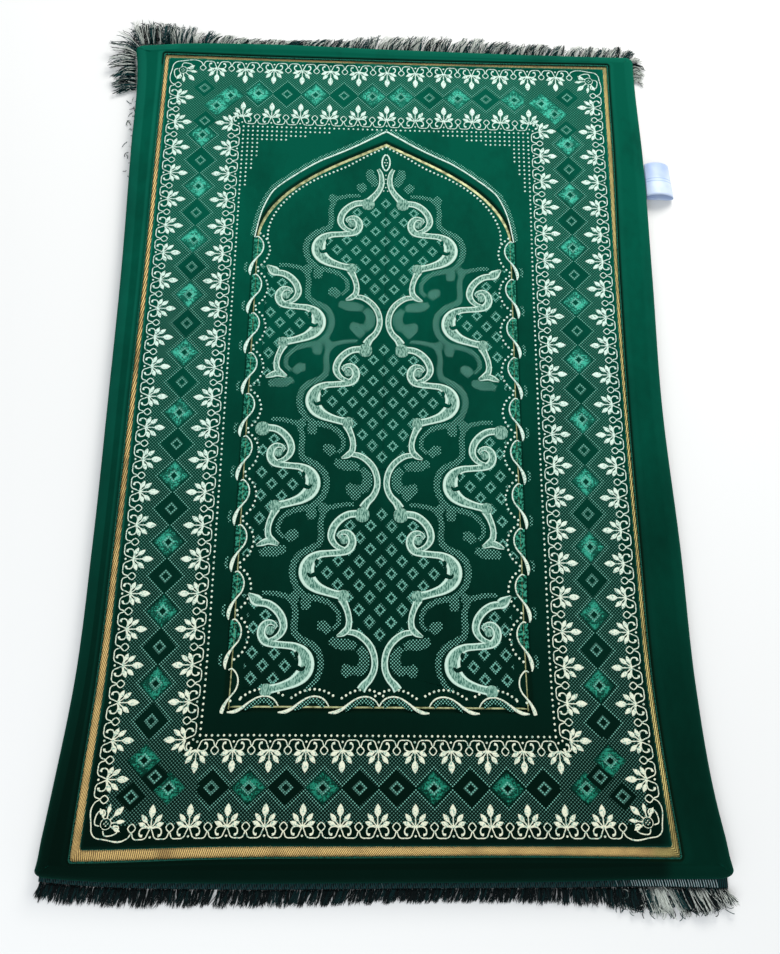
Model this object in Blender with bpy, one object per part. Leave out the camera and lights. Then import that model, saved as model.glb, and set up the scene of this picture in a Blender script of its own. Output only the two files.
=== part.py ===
"""Padded velour prayer rug with fringed ends, lying flat.

Frame: origin on the floor under the middle of the rug, +X across to the right,
+Y along the rug to the end that the arch points to, +Z up.  All sizes in metres.
The rug is worked out flat and even first, as a pattern of (across, along) sizes,
and plan() then moves each point to where the uneven real outline has it.
"""
import math

import bmesh
import bpy
import numpy as np

# --- driving sizes of the even pattern ---------------------------------------
BORDER_HALF = (0.3375, 0.5555)     # woven border's outer edge, half width and half length
STRIPE_HALF = (0.3510, 0.5700)     # gold stripe's outer edge
PILE_HALF = (0.3950, 0.5980)       # outermost edge of the padded velour
STRIPE_SHARE = 0.58                # stripe's share of the ground between border and pile frame
PILE_TOP = 0.025                   # height of the padded frame
FACE_TOP = 0.0235                  # height of the flat woven middle
STRIPE_TOP = 0.0205                # height of the recessed stripe
GAP = 0.0003                       # clearance between touching pieces

# How far each edge lies from the middle, a row for each cross-section of the rug.
SIDE_COLUMNS = ("along", "pile_left", "pile_right", "stripe_left", "stripe_right",
                "border_left", "border_right")
SIDE_ROWS = (
    (0.600, 0.4010, 0.3960, 0.3505, 0.3520, 0.3385, 0.3390),
    (0.540, 0.3940, 0.3960, 0.3505, 0.3505, 0.3385, 0.3385),
    (0.400, 0.3910, 0.4000, 0.3510, 0.3500, 0.3385, 0.3375),
    (0.200, 0.3860, 0.3995, 0.3505, 0.3460, 0.3385, 0.3360),
    (0.000, 0.3850, 0.3980, 0.3520, 0.3450, 0.3390, 0.3360),
    (-0.200, 0.3850, 0.4070, 0.3540, 0.3475, 0.3395, 0.3375),
    (-0.380, 0.3895, 0.4120, 0.3580, 0.3520, 0.3410, 0.3400),
    (-0.500, 0.4020, 0.4230, 0.3655, 0.3630, 0.3475, 0.3500),
    (-0.606, 0.4150, 0.4430, 0.3715, 0.3765, 0.3520, 0.3590),
)
# The same for the two ends, a row for each lengthwise section.
END_COLUMNS = ("across", "pile_far", "pile_near", "stripe_far", "stripe_near",
               "border_far", "border_near")
END_ROWS = (
    (-0.400, 0.5830, 0.6020, 0.5640, 0.5850, 0.5530, 0.5625),
    (-0.330, 0.5900, 0.6070, 0.5640, 0.5840, 0.5530, 0.5615),
    (-0.200, 0.5935, 0.6085, 0.5625, 0.5795, 0.5525, 0.5580),
    (0.000, 0.5900, 0.6075, 0.5620, 0.5770, 0.5525, 0.5570),
    (0.200, 0.5875, 0.6055, 0.5630, 0.5755, 0.5530, 0.5565),
    (0.330, 0.5870, 0.6020, 0.5645, 0.5765, 0.5535, 0.5560),
    (0.440, 0.5880, 0.6010, 0.5650, 0.5775, 0.5540, 0.5555),
)

# Rounded edge of the padded body from the floor up: how far in, and how high.
EDGE_PROFILE = (
    (0.0075, 0.0000), (0.0024, 0.0040), (0.0000, 0.0110),
    (0.0026, 0.0185), (0.0080, 0.0230), (0.0165, PILE_TOP),
)
CORNER_RADIUS = 0.014              # of the padded outline
STRIPE_RADIUS = 0.002              # of the stripe's corners
RECESS_LIP = 0.0020                # width of the slope into the stripe
SIDE_STEPS = 40                    # facets along each long edge
END_STEPS = 30                     # facets along each short edge
CORNER_STEPS = 4

# Niche: an arch on two straight sides, carved as a narrow channel in the pile.
NICHE_HALF_WIDTH = 0.191
NICHE_FOOT = -0.4080
NICHE_SHOULDER = 0.2450
ARCH_RISE = 0.1710                 # from the shoulders to the point
ARCH_CURVE = 0.450                 # share of the rise that bulges over a straight slope
CHANNEL_WIDTH = 0.0050
CHANNEL_DEPTH = 0.0030
ARCH_STEPS = 14

# Overlocked bands sewn under the two short edges.
BAND_THICKNESS = 0.0030
BAND_TUCK = 0.0028                 # how far a band reaches in under the rounded edge
BAND_SHORT = {"far": 0.018, "near": 0.005}     # how far a band stops short of each side
BAND_STEPS = 36
# reach is how far a band stands out past the pile's edge at each across position
BAND_COLUMNS = ("across", "far_reach", "near_reach")
BAND_ROWS = (
    (-0.400, 0.010, 0.007),
    (-0.200, 0.008, 0.009),
    (0.200, 0.008, 0.009),
    (0.330, 0.008, 0.011),
    (0.440, 0.008, 0.016),
)

# Fringes: combs of yarn beyond the bands.  at is the share of the comb's run, length the
# yarns' length, lean how far their tips swing to the right, lift the height of their tips.
FRINGE_SPINE = 0.0030
FRINGE_THICKNESS = 0.0024
FRINGE_FLOOR = 0.0006              # the yarns' height over the floor
FRINGE_COLUMNS = ("at", "length", "lean", "lift")
FAR_FRINGE_ROWS = (
    (0.00, 0.034, -0.006, 0.004),
    (0.06, 0.040, -0.010, 0.010),
    (0.12, 0.040, 0.004, 0.012),
    (0.20, 0.022, 0.012, 0.004),
    (0.45, 0.020, 0.012, 0.003),
    (0.52, 0.026, 0.014, 0.005),
    (0.80, 0.022, 0.012, 0.003),
    (0.94, 0.022, 0.010, 0.002),
    (1.00, 0.016, 0.002, 0.002),
)
NEAR_FRINGE_ROWS = (
    (0.00, 0.022, 0.004, 0.001),
    (0.30, 0.020, 0.006, 0.001),
    (0.70, 0.018, 0.004, 0.001),
    (0.84, 0.024, -0.004, 0.003),
    (0.92, 0.032, -0.014, 0.006),
    (1.00, 0.018, -0.012, 0.008),
)
FAR_TEETH = 56
NEAR_TEETH = 48
TOOTH_TAPER = 0.70                 # share of its width left at a yarn bundle's tip
TOOTH_SHARE = 0.82                 # share of the spine that the bundles take up
FAR_WRAP = (0.085, 0.045)          # how far the far fringe turns down the left and right sides
FRINGE_SHORT = 0.006               # how far the straight run stops short of each side
FLANK_CLEARANCE = 0.004            # between the sides and the turned-down yarns

# Satin loop sewn into the right side: a ribbon folded over on itself.
TAB_ALONG = (0.3390, 0.3940)       # its two edges along the rug
TAB_THICKNESS = 0.0010
TAB_SKEW = 0.004                   # how much further out its near edge reaches
# out from the pile's edge and up from the floor, from the seam round the fold and back
TAB_ROUTE = (
    (0.0008, 0.0120), (0.0080, 0.0168), (0.0170, 0.0186), (0.0265, 0.0172),
    (0.0345, 0.0130), (0.0395, 0.0078), (0.0402, 0.0036), (0.0355, 0.0014),
    (0.0230, 0.0012), (0.0040, 0.0014),
)

# name: colour, roughness, metallic
MATERIALS = {
    "velour": ((0.004, 0.105, 0.072), 0.80, 0.0),
    "overlock": ((0.010, 0.075, 0.085), 0.75, 0.0),
    "fringe_yarn": ((0.200, 0.260, 0.240), 0.80, 0.0),
    "satin": ((0.640, 0.720, 0.860), 0.35, 0.0),
}


def table(columns, rows):
    """Named columns of a short table, sorted by the first one."""
    values = np.array(sorted(rows), dtype=float)
    return {name: values[:, index] for index, name in enumerate(columns)}


def smooth(at, knots, values):
    """Cubic Hermite curve through the knots, flat past both ends."""
    at = np.clip(np.asarray(at, dtype=float), knots[0], knots[-1])
    slopes = np.gradient(values, knots)
    left = np.clip(np.searchsorted(knots, at) - 1, 0, len(knots) - 2)
    width = knots[left + 1] - knots[left]
    u = (at - knots[left]) / width
    return ((1 + 2 * u) * (1 - u) ** 2 * values[left]
            + u * (1 - u) ** 2 * width * slopes[left]
            + u ** 2 * (3 - 2 * u) * values[left + 1]
            + u ** 2 * (u - 1) * width * slopes[left + 1])


SIDES = table(SIDE_COLUMNS, SIDE_ROWS)
ENDS = table(END_COLUMNS, END_ROWS)


def shift(distance, station, edges, knots, halves, names):
    """How far the real rug's point lies further out than the even pattern's.

    Each of the three nested outlines has its own shift at this station, and a point
    between two of them takes a share of both.
    """
    border, stripe, pile = (smooth(station, knots, edges[name]) - half
                            for name, half in zip(names, halves))
    inner = np.clip(distance / halves[0], 0, 1)
    middle = np.clip((distance - halves[0]) / (halves[1] - halves[0]), 0, 1)
    outer = np.clip((distance - halves[1]) / (halves[2] - halves[1]), 0, 1)
    return border * inner + (stripe - border) * middle + (pile - stripe) * outer


def plan(across, along):
    """Plan positions of pattern points, each moved by its side's and its end's shift."""
    across = np.asarray(across, dtype=float)
    along = np.asarray(along, dtype=float)
    widths = (BORDER_HALF[0], STRIPE_HALF[0], PILE_HALF[0])
    lengths = (BORDER_HALF[1], STRIPE_HALF[1], PILE_HALF[1])
    knots = SIDES["along"]
    side = np.where(
        across < 0,
        -shift(-across, along, SIDES, knots, widths, ("border_left", "stripe_left", "pile_left")),
        shift(across, along, SIDES, knots, widths, ("border_right", "stripe_right", "pile_right")))
    knots = ENDS["across"]
    end = np.where(
        along < 0,
        -shift(-along, across, ENDS, knots, lengths, ("border_near", "stripe_near", "pile_near")),
        shift(along, across, ENDS, knots, lengths, ("border_far", "stripe_far", "pile_far")))
    return np.stack([across + side, along + end], axis=-1)


def rounded_rectangle(half_width, half_length, radius):
    """Pattern points anticlockwise round a rectangle with round corners."""
    straight_x = half_width - radius
    straight_y = half_length - radius
    sides = (
        ((half_width, -straight_y), (half_width, straight_y), SIDE_STEPS, 0),
        ((straight_x, half_length), (-straight_x, half_length), END_STEPS, 1),
        ((-half_width, straight_y), (-half_width, -straight_y), SIDE_STEPS, 2),
        ((-straight_x, -half_length), (straight_x, -half_length), END_STEPS, 3),
    )
    corners = ((1, 1), (-1, 1), (-1, -1), (1, -1))
    points = []
    for (start, end, steps, index) in sides:
        points.extend(np.linspace(start, end, steps + 1))
        centre = np.array(corners[index]) * (straight_x, straight_y)
        for step in range(1, CORNER_STEPS):
            angle = (index + step / CORNER_STEPS) * math.pi / 2
            points.append(centre + radius * np.array([math.cos(angle), math.sin(angle)]))
    return np.array(points)


def ring(halves, inset, radius, height):
    """One closed row of 3-D points: a nested outline, drawn in by inset, at a height."""
    flat = rounded_rectangle(halves[0], halves[1], radius)
    centre = rounded_rectangle(halves[0] - inset, halves[1] - inset, max(radius - inset, 0.001))
    moved = plan(flat[:, 0], flat[:, 1]) + (centre - flat)
    return np.column_stack([moved, np.full(len(moved), height)])


def make_object(name, mesh, material):
    """Object of a finished mesh with its material."""
    obj = bpy.data.objects.new(name, mesh)
    bpy.context.scene.collection.objects.link(obj)
    colour, roughness, metallic = MATERIALS[material]
    finish = bpy.data.materials.get(material) or bpy.data.materials.new(material)
    finish.use_nodes = True
    shader = finish.node_tree.nodes["Principled BSDF"]
    shader.inputs["Base Color"].default_value = (*colour, 1.0)
    shader.inputs["Roughness"].default_value = roughness
    shader.inputs["Metallic"].default_value = metallic
    mesh.materials.append(finish)
    return obj


def loft(name, rows, material):
    """One solid through closed rows of points, all with the same number of points.

    The first and the last row are capped flat.
    """
    mesh = bpy.data.meshes.new(name)
    shape = bmesh.new()
    loops = [[shape.verts.new(point) for point in row] for row in rows]
    for lower, upper in zip(loops, loops[1:]):
        count = len(lower)
        for index in range(count):
            after = (index + 1) % count
            shape.faces.new((lower[index], lower[after], upper[after], upper[index]))
    shape.faces.new(reversed(loops[0]))
    shape.faces.new(loops[-1])
    bmesh.ops.recalc_face_normals(shape, faces=shape.faces)
    shape.to_mesh(mesh)
    shape.free()
    return make_object(name, mesh, material)


def niche_line():
    """Pattern points once round the niche: foot, side, arch, side.

    The arch rises as a straight slope plus a quarter of a squarish ellipse.
    """
    share = np.linspace(0, 1, ARCH_STEPS + 1) ** 1.5
    across = NICHE_HALF_WIDTH * (1 - share)
    bulge = np.sqrt(1 - (1 - share) ** 4)
    rise = ARCH_RISE * ((1 - ARCH_CURVE) * share + ARCH_CURVE * bulge)
    right = np.column_stack([across, NICHE_SHOULDER + rise])
    left = right[-2::-1] * (-1, 1)
    foot = np.linspace(-NICHE_HALF_WIDTH, NICHE_HALF_WIDTH, 9)
    side = np.linspace(NICHE_FOOT, NICHE_SHOULDER, 13)[1:-1]
    return np.concatenate([
        np.column_stack([foot, np.full(len(foot), NICHE_FOOT)]),
        np.column_stack([np.full(len(side), NICHE_HALF_WIDTH), side]),
        right,
        left,
        np.column_stack([np.full(len(side), -NICHE_HALF_WIDTH), side[::-1]]),
    ])


def channel_cutter():
    """Closed tube of V section along the niche, which carves its channel."""
    line = plan(*niche_line().T)
    ahead = np.roll(line, -1, axis=0) - line
    ahead /= np.linalg.norm(ahead, axis=1)[:, None]
    behind = np.roll(ahead, 1, axis=0)
    tangent = ahead + behind
    tangent /= np.linalg.norm(tangent, axis=1)[:, None]
    mitre = 1 / np.sum(tangent * ahead, axis=1)[:, None]
    outward = np.column_stack([tangent[:, 1], -tangent[:, 0]]) * mitre
    shape = bmesh.new()
    sections = (
        (CHANNEL_WIDTH, FACE_TOP + CHANNEL_DEPTH),
        (-CHANNEL_WIDTH, FACE_TOP + CHANNEL_DEPTH),
        (0.0, FACE_TOP - CHANNEL_DEPTH),
    )
    loops = []
    for offset, height in sections:
        points = np.column_stack([line + outward * offset, np.full(len(line), height)])
        loops.append([shape.verts.new(point) for point in points])
    for first, second in zip(loops, loops[1:] + loops[:1]):
        for index in range(len(line)):
            after = (index + 1) % len(line)
            shape.faces.new((first[index], first[after], second[after], second[index]))
    bmesh.ops.recalc_face_normals(shape, faces=shape.faces)
    mesh = bpy.data.meshes.new("niche_channel")
    shape.to_mesh(mesh)
    shape.free()
    cutter = bpy.data.objects.new("niche_channel", mesh)
    bpy.context.scene.collection.objects.link(cutter)
    cutter.hide_render = True
    cutter.display_type = "WIRE"
    return cutter


def build_body():
    """The padded velour: rounded edge, raised frame, recessed stripe, flat middle."""
    rows = [ring(PILE_HALF, inset, CORNER_RADIUS, height) for inset, height in EDGE_PROFILE]
    stripe_inner = [stripe - STRIPE_SHARE * (stripe - border)
                    for stripe, border in zip(STRIPE_HALF, BORDER_HALF)]
    rows.append(ring(STRIPE_HALF, -RECESS_LIP, STRIPE_RADIUS, PILE_TOP))
    rows.append(ring(STRIPE_HALF, 0.0, STRIPE_RADIUS, STRIPE_TOP))
    rows.append(ring(stripe_inner, 0.0, STRIPE_RADIUS, STRIPE_TOP))
    rows.append(ring(stripe_inner, RECESS_LIP, STRIPE_RADIUS, FACE_TOP))
    body = loft("rug_body", rows, "velour")
    carve = body.modifiers.new("niche", "BOOLEAN")
    carve.operation = "DIFFERENCE"
    carve.solver = "EXACT"
    carve.object = channel_cutter()
    return body


def edge_line(end, across):
    """Plan points on the pile's far or near edge, and the directions out of it."""
    along = np.full(len(across), PILE_HALF[1] if end == "far" else -PILE_HALF[1])
    line = plan(across, along)
    tangent = np.gradient(line, axis=0)
    tangent /= np.linalg.norm(tangent, axis=1)[:, None]
    outward = np.column_stack([-tangent[:, 1], tangent[:, 0]])
    return line, outward if end == "far" else -outward


def build_band(end):
    """Overlocked band, tucked under the rounded edge and standing out past it."""
    reach = table(BAND_COLUMNS, BAND_ROWS)
    across = np.linspace(-1, 1, BAND_STEPS + 1) * (PILE_HALF[0] - BAND_SHORT[end])
    line, outward = edge_line(end, across)
    width = smooth(across, reach["across"], reach[f"{end}_reach"])[:, None]
    inner = line - outward * BAND_TUCK
    outer = line + outward * width
    rows = []
    for inside, outside in zip(inner, outer):
        rows.append([(*inside, GAP), (*outside, GAP), (*outside, BAND_THICKNESS * 0.7),
                     (*inside, BAND_THICKNESS)])
    return loft(f"band_{end}", rows, "overlock")


def fringe_route(end):
    """Plan points where bundles start and end along the spine, and the ways they leave."""
    reach = table(BAND_COLUMNS, BAND_ROWS)
    teeth = FAR_TEETH if end == "far" else NEAR_TEETH
    across = np.linspace(-1, 1, 240) * (PILE_HALF[0] - FRINGE_SHORT)
    line, outward = edge_line(end, across)
    width = smooth(across, reach["across"], reach[f"{end}_reach"])[:, None]
    line = line + outward * (width + GAP)
    if end == "far":
        turns = []
        for side, wrap in zip((-1, 1), FAR_WRAP):
            down = PILE_HALF[1] - np.linspace(CORNER_RADIUS, wrap, 40)
            flank = plan(np.full(len(down), side * PILE_HALF[0]), down)
            flank[:, 0] += side * FLANK_CLEARANCE
            turns.append(flank)
        line = np.concatenate([turns[0][::-1], line, turns[1]])
    run = np.concatenate([[0], np.cumsum(np.linalg.norm(np.diff(line, axis=0), axis=1))])
    widths = np.tile([1 - TOOTH_SHARE, TOOTH_SHARE], teeth)
    at = np.concatenate([[0], np.cumsum(widths), [teeth + 1 - TOOTH_SHARE]])
    at *= run[-1] / at[-1]
    points = np.column_stack([np.interp(at, run, line[:, 0]), np.interp(at, run, line[:, 1])])
    points[1:-1] = (points[:-2] + 2 * points[1:-1] + points[2:]) / 4
    tangent = np.gradient(points, axis=0)
    tangent /= np.linalg.norm(tangent, axis=1)[:, None]
    outward = np.column_stack([-tangent[:, 1], tangent[:, 0]])
    return points, tangent, outward if end == "far" else -outward


def build_fringe(end):
    """One comb of yarn bundles: a thin spine, with a tooth drawn out of every other facet."""
    rows = table(FRINGE_COLUMNS, FAR_FRINGE_ROWS if end == "far" else NEAR_FRINGE_ROWS)
    points, tangent, outward = fringe_route(end)
    low, high = FRINGE_FLOOR, FRINGE_FLOOR + FRINGE_THICKNESS
    mesh = bpy.data.meshes.new(f"fringe_{end}")
    shape = bmesh.new()
    sections = []
    for point, out in zip(points, outward):
        front = point + out * FRINGE_SPINE
        corners = ((*point, low), (*front, low), (*front, high), (*point, high))
        sections.append([shape.verts.new(corner) for corner in corners])
    fronts = []
    for first, second in zip(sections, sections[1:]):
        for index in range(4):
            after = (index + 1) % 4
            face = shape.faces.new((first[index], first[after], second[after], second[index]))
            if index == 1:
                fronts.append(face)
    shape.faces.new(reversed(sections[0]))
    shape.faces.new(sections[-1])
    for index in range(1, len(fronts), 2):
        at = index / len(fronts)
        length, lean, lift = (float(smooth(at, rows["at"], rows[name]))
                              for name in ("length", "lean", "lift"))
        length *= 1 + 0.12 * math.sin(2.4 * index)
        sway = lean + 0.003 * math.sin(1.7 * index)
        face = fronts[index]
        for share, rise, drift in ((0.5, 0.35, 0.25), (0.5, 0.65, 0.75)):
            moved = bmesh.ops.extrude_face_region(shape, geom=[face])["geom"]
            shape.faces.remove(face)
            face = next(part for part in moved if isinstance(part, bmesh.types.BMFace))
            middle = face.calc_center_median()
            step = outward[index] * length * share + tangent[index] * sway * drift
            for vert in face.verts:
                taper = (vert.co - middle) * math.sqrt(TOOTH_TAPER)
                vert.co = middle + taper
                vert.co.x += step[0]
                vert.co.y += step[1]
                vert.co.z += lift * rise
    bmesh.ops.recalc_face_normals(shape, faces=shape.faces)
    shape.to_mesh(mesh)
    shape.free()
    return make_object(f"fringe_{end}", mesh, "fringe_yarn")


def build_tab():
    """Satin ribbon folded into a loop, standing out of the right side's seam."""
    route = np.array(TAB_ROUTE)
    tangent = np.gradient(route, axis=0)
    tangent /= np.linalg.norm(tangent, axis=1)[:, None]
    normal = np.column_stack([-tangent[:, 1], tangent[:, 0]]) * TAB_THICKNESS / 2
    rows = []
    for along, skew in zip(TAB_ALONG, (TAB_SKEW, 0.0)):
        edge = float(plan(PILE_HALF[0], along)[0])
        outline = np.concatenate([route + normal, (route - normal)[::-1]])
        stretch = 1 + skew / route[:, 0].max()
        rows.append([(edge + out * stretch, along, up) for out, up in outline])
    return loft("side_tab", rows, "satin")


def main():
    """Clear the scene and build every piece."""
    for old in list(bpy.data.objects):
        bpy.data.objects.remove(old, do_unlink=True)
    build_body()
    for end in ("far", "near"):
        build_band(end)
        build_fringe(end)
    build_tab()


main()
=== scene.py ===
"""Finished surfaces of a padded velour prayer rug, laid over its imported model.

The rug is worked out as an even pattern of (across, along) sizes, as on the loom, and
Cloth moves every pattern point to where the uneven real rug has it.  Each class below
builds and dresses one sub-assembly.
"""
import logging
import math
from collections.abc import Callable, Sequence
from dataclasses import dataclass, field
from enum import Enum

import bmesh
import bpy
import numpy as np
from mathutils import Matrix, Vector


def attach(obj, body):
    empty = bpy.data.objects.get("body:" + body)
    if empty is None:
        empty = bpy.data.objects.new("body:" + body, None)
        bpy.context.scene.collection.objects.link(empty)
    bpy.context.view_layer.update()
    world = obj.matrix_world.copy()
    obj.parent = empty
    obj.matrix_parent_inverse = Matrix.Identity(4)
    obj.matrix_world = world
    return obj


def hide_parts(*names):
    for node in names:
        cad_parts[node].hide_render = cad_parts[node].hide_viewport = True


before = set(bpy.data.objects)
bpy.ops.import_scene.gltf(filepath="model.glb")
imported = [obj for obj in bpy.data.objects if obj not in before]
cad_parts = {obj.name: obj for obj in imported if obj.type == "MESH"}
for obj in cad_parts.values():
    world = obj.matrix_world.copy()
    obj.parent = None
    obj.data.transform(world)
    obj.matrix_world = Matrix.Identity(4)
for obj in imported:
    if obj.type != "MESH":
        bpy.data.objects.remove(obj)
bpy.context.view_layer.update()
LOG = logging.getLogger("prayer_rug")
MM = 0.001
ROOT = "root"
PITCH = 44.3 * MM

Array = np.ndarray
Piece = bpy.types.Object
Material = bpy.types.Material
Triple = tuple[float, float, float]
Table = tuple[tuple[float, ...], ...]


class End(Enum):
    """The two fringed ends of the rug."""

    FAR = "far"
    NEAR = "near"


class Side(Enum):
    """The four sides of the woven border, each with its own way along it."""

    FAR = "far"
    NEAR = "near"
    LEFT = "left"
    RIGHT = "right"


class Section(Enum):
    """Places across a figure's section, from one rim to the other."""

    ROUND = (-1, -0.86, -0.5, 0, 0.5, 0.86, 1)
    LEAF = (-1, -0.6, 0, 0.6, 1)
    THREAD = (-1, -0.5, 0.5, 1)
    HATCH = (-1, -0.8, 0, 0.8, 1)
    TICK = (-1, -0.8, 0.8, 1)
    ECHO = (-1, -0.9, 0, 0.9, 1)
    BROAD = (-1, -0.93, -0.8, -0.6, -0.3, 0, 0.3, 0.6, 0.8, 0.93, 1)


class Half(Enum):
    """How a half medallion starts at its top."""

    FINIAL = "finial"
    MIDDLE = "middle"
    LEAF = "leaf"
    KNOB = "knob"


# ---- curves


def smooth(at: Array, knots: Array, values: Array) -> Array:
    """Cubic Hermite curve through the knots, with each slope read from its neighbours.

    Args:
        at: places where the curve is wanted.
        knots: rising places where it is known.
        values: what it is there.

    Returns:
        The curve's values, flat past both ends.
    """
    at = np.clip(np.asarray(at, dtype=float), knots[0], knots[-1])
    slopes = np.gradient(values, knots)
    left = np.clip(np.searchsorted(knots, at) - 1, 0, len(knots) - 2)
    width = knots[left + 1] - knots[left]
    u = (at - knots[left]) / width
    return ((1 + 2 * u) * (1 - u) ** 2 * values[left]
            + u * (1 - u) ** 2 * width * slopes[left]
            + u ** 2 * (3 - 2 * u) * values[left + 1]
            + u ** 2 * (u - 1) * width * slopes[left + 1])


def run_of(points: Array) -> Array:
    """Length travelled along a row of points, from 0 at the first one."""
    steps = np.linalg.norm(np.diff(points[:, :2], axis=0), axis=1)
    return np.concatenate([[0.0], np.cumsum(steps)])


def resample(path: Array, count: int) -> Array:
    """The same path with count evenly spaced points."""
    run = run_of(path)
    even = np.linspace(0, run[-1], count)
    return np.column_stack([np.interp(even, run, column) for column in path.T])


def curve(rows: Sequence[Sequence[float]], count: int) -> Array:
    """Smooth curve through given rows of (x, y, more columns).

    Args:
        rows: the points that the curve passes through.
        count: number of points wanted.

    Returns:
        count rows, evenly spaced along x and y, with the other columns carried along.
    """
    known = np.asarray(rows, dtype=float)
    run = run_of(known)
    fine = np.linspace(0, run[-1], 24 * len(known))
    return resample(np.column_stack([smooth(fine, run, column) for column in known.T]), count)


def mitres(loop: Array) -> Array:
    """Outward directions of an anticlockwise loop, longer at its corners so that the
    lines drawn beside it keep their distance.

    Args:
        loop: its points, the first not repeated.

    Returns:
        A direction for each point.
    """
    ahead = np.roll(loop, -1, axis=0) - loop
    ahead /= np.linalg.norm(ahead, axis=1)[:, None]
    tangent = ahead + np.roll(ahead, 1, axis=0)
    tangent /= np.linalg.norm(tangent, axis=1)[:, None]
    return np.column_stack([tangent[:, 1], -tangent[:, 0]]) / np.sum(tangent * ahead, axis=1)[:, None]


def normals_of(path: Array) -> Array:
    """Unit directions square to a path, to the left of the way it runs."""
    tangent = np.gradient(path, axis=0)
    tangent /= np.maximum(np.linalg.norm(tangent, axis=1)[:, None], 1e-12)
    return np.column_stack([-tangent[:, 1], tangent[:, 0]])


def grid_quads(rows: int, columns: int) -> Array:
    """Faces of a grid of vertices that are counted row by row: four numbers for each."""
    index = np.arange(rows * columns).reshape(rows, columns)
    return np.stack([index[:-1, :-1], index[1:, :-1], index[1:, 1:], index[:-1, 1:]], -1).reshape(-1, 4)


def tube_quads(rows: int, around: int) -> Array:
    """Faces between closed loops of vertices, one loop a row: four numbers for each."""
    index = np.arange(rows * around).reshape(rows, around)
    ahead = np.roll(index, -1, axis=1)
    return np.stack([index[:-1], ahead[:-1], ahead[1:], index[1:]], -1).reshape(-1, 4)


def round_grid(cells: int) -> Array:
    """Square grid of points pressed into the unit circle, so that a disc needs no pole."""
    u, v = np.meshgrid(np.linspace(-1, 1, cells + 1), np.linspace(-1, 1, cells + 1), indexing="ij")
    return np.stack([u * np.sqrt(1 - v ** 2 / 2), v * np.sqrt(1 - u ** 2 / 2)], axis=-1)


# ---- the cloth


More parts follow.
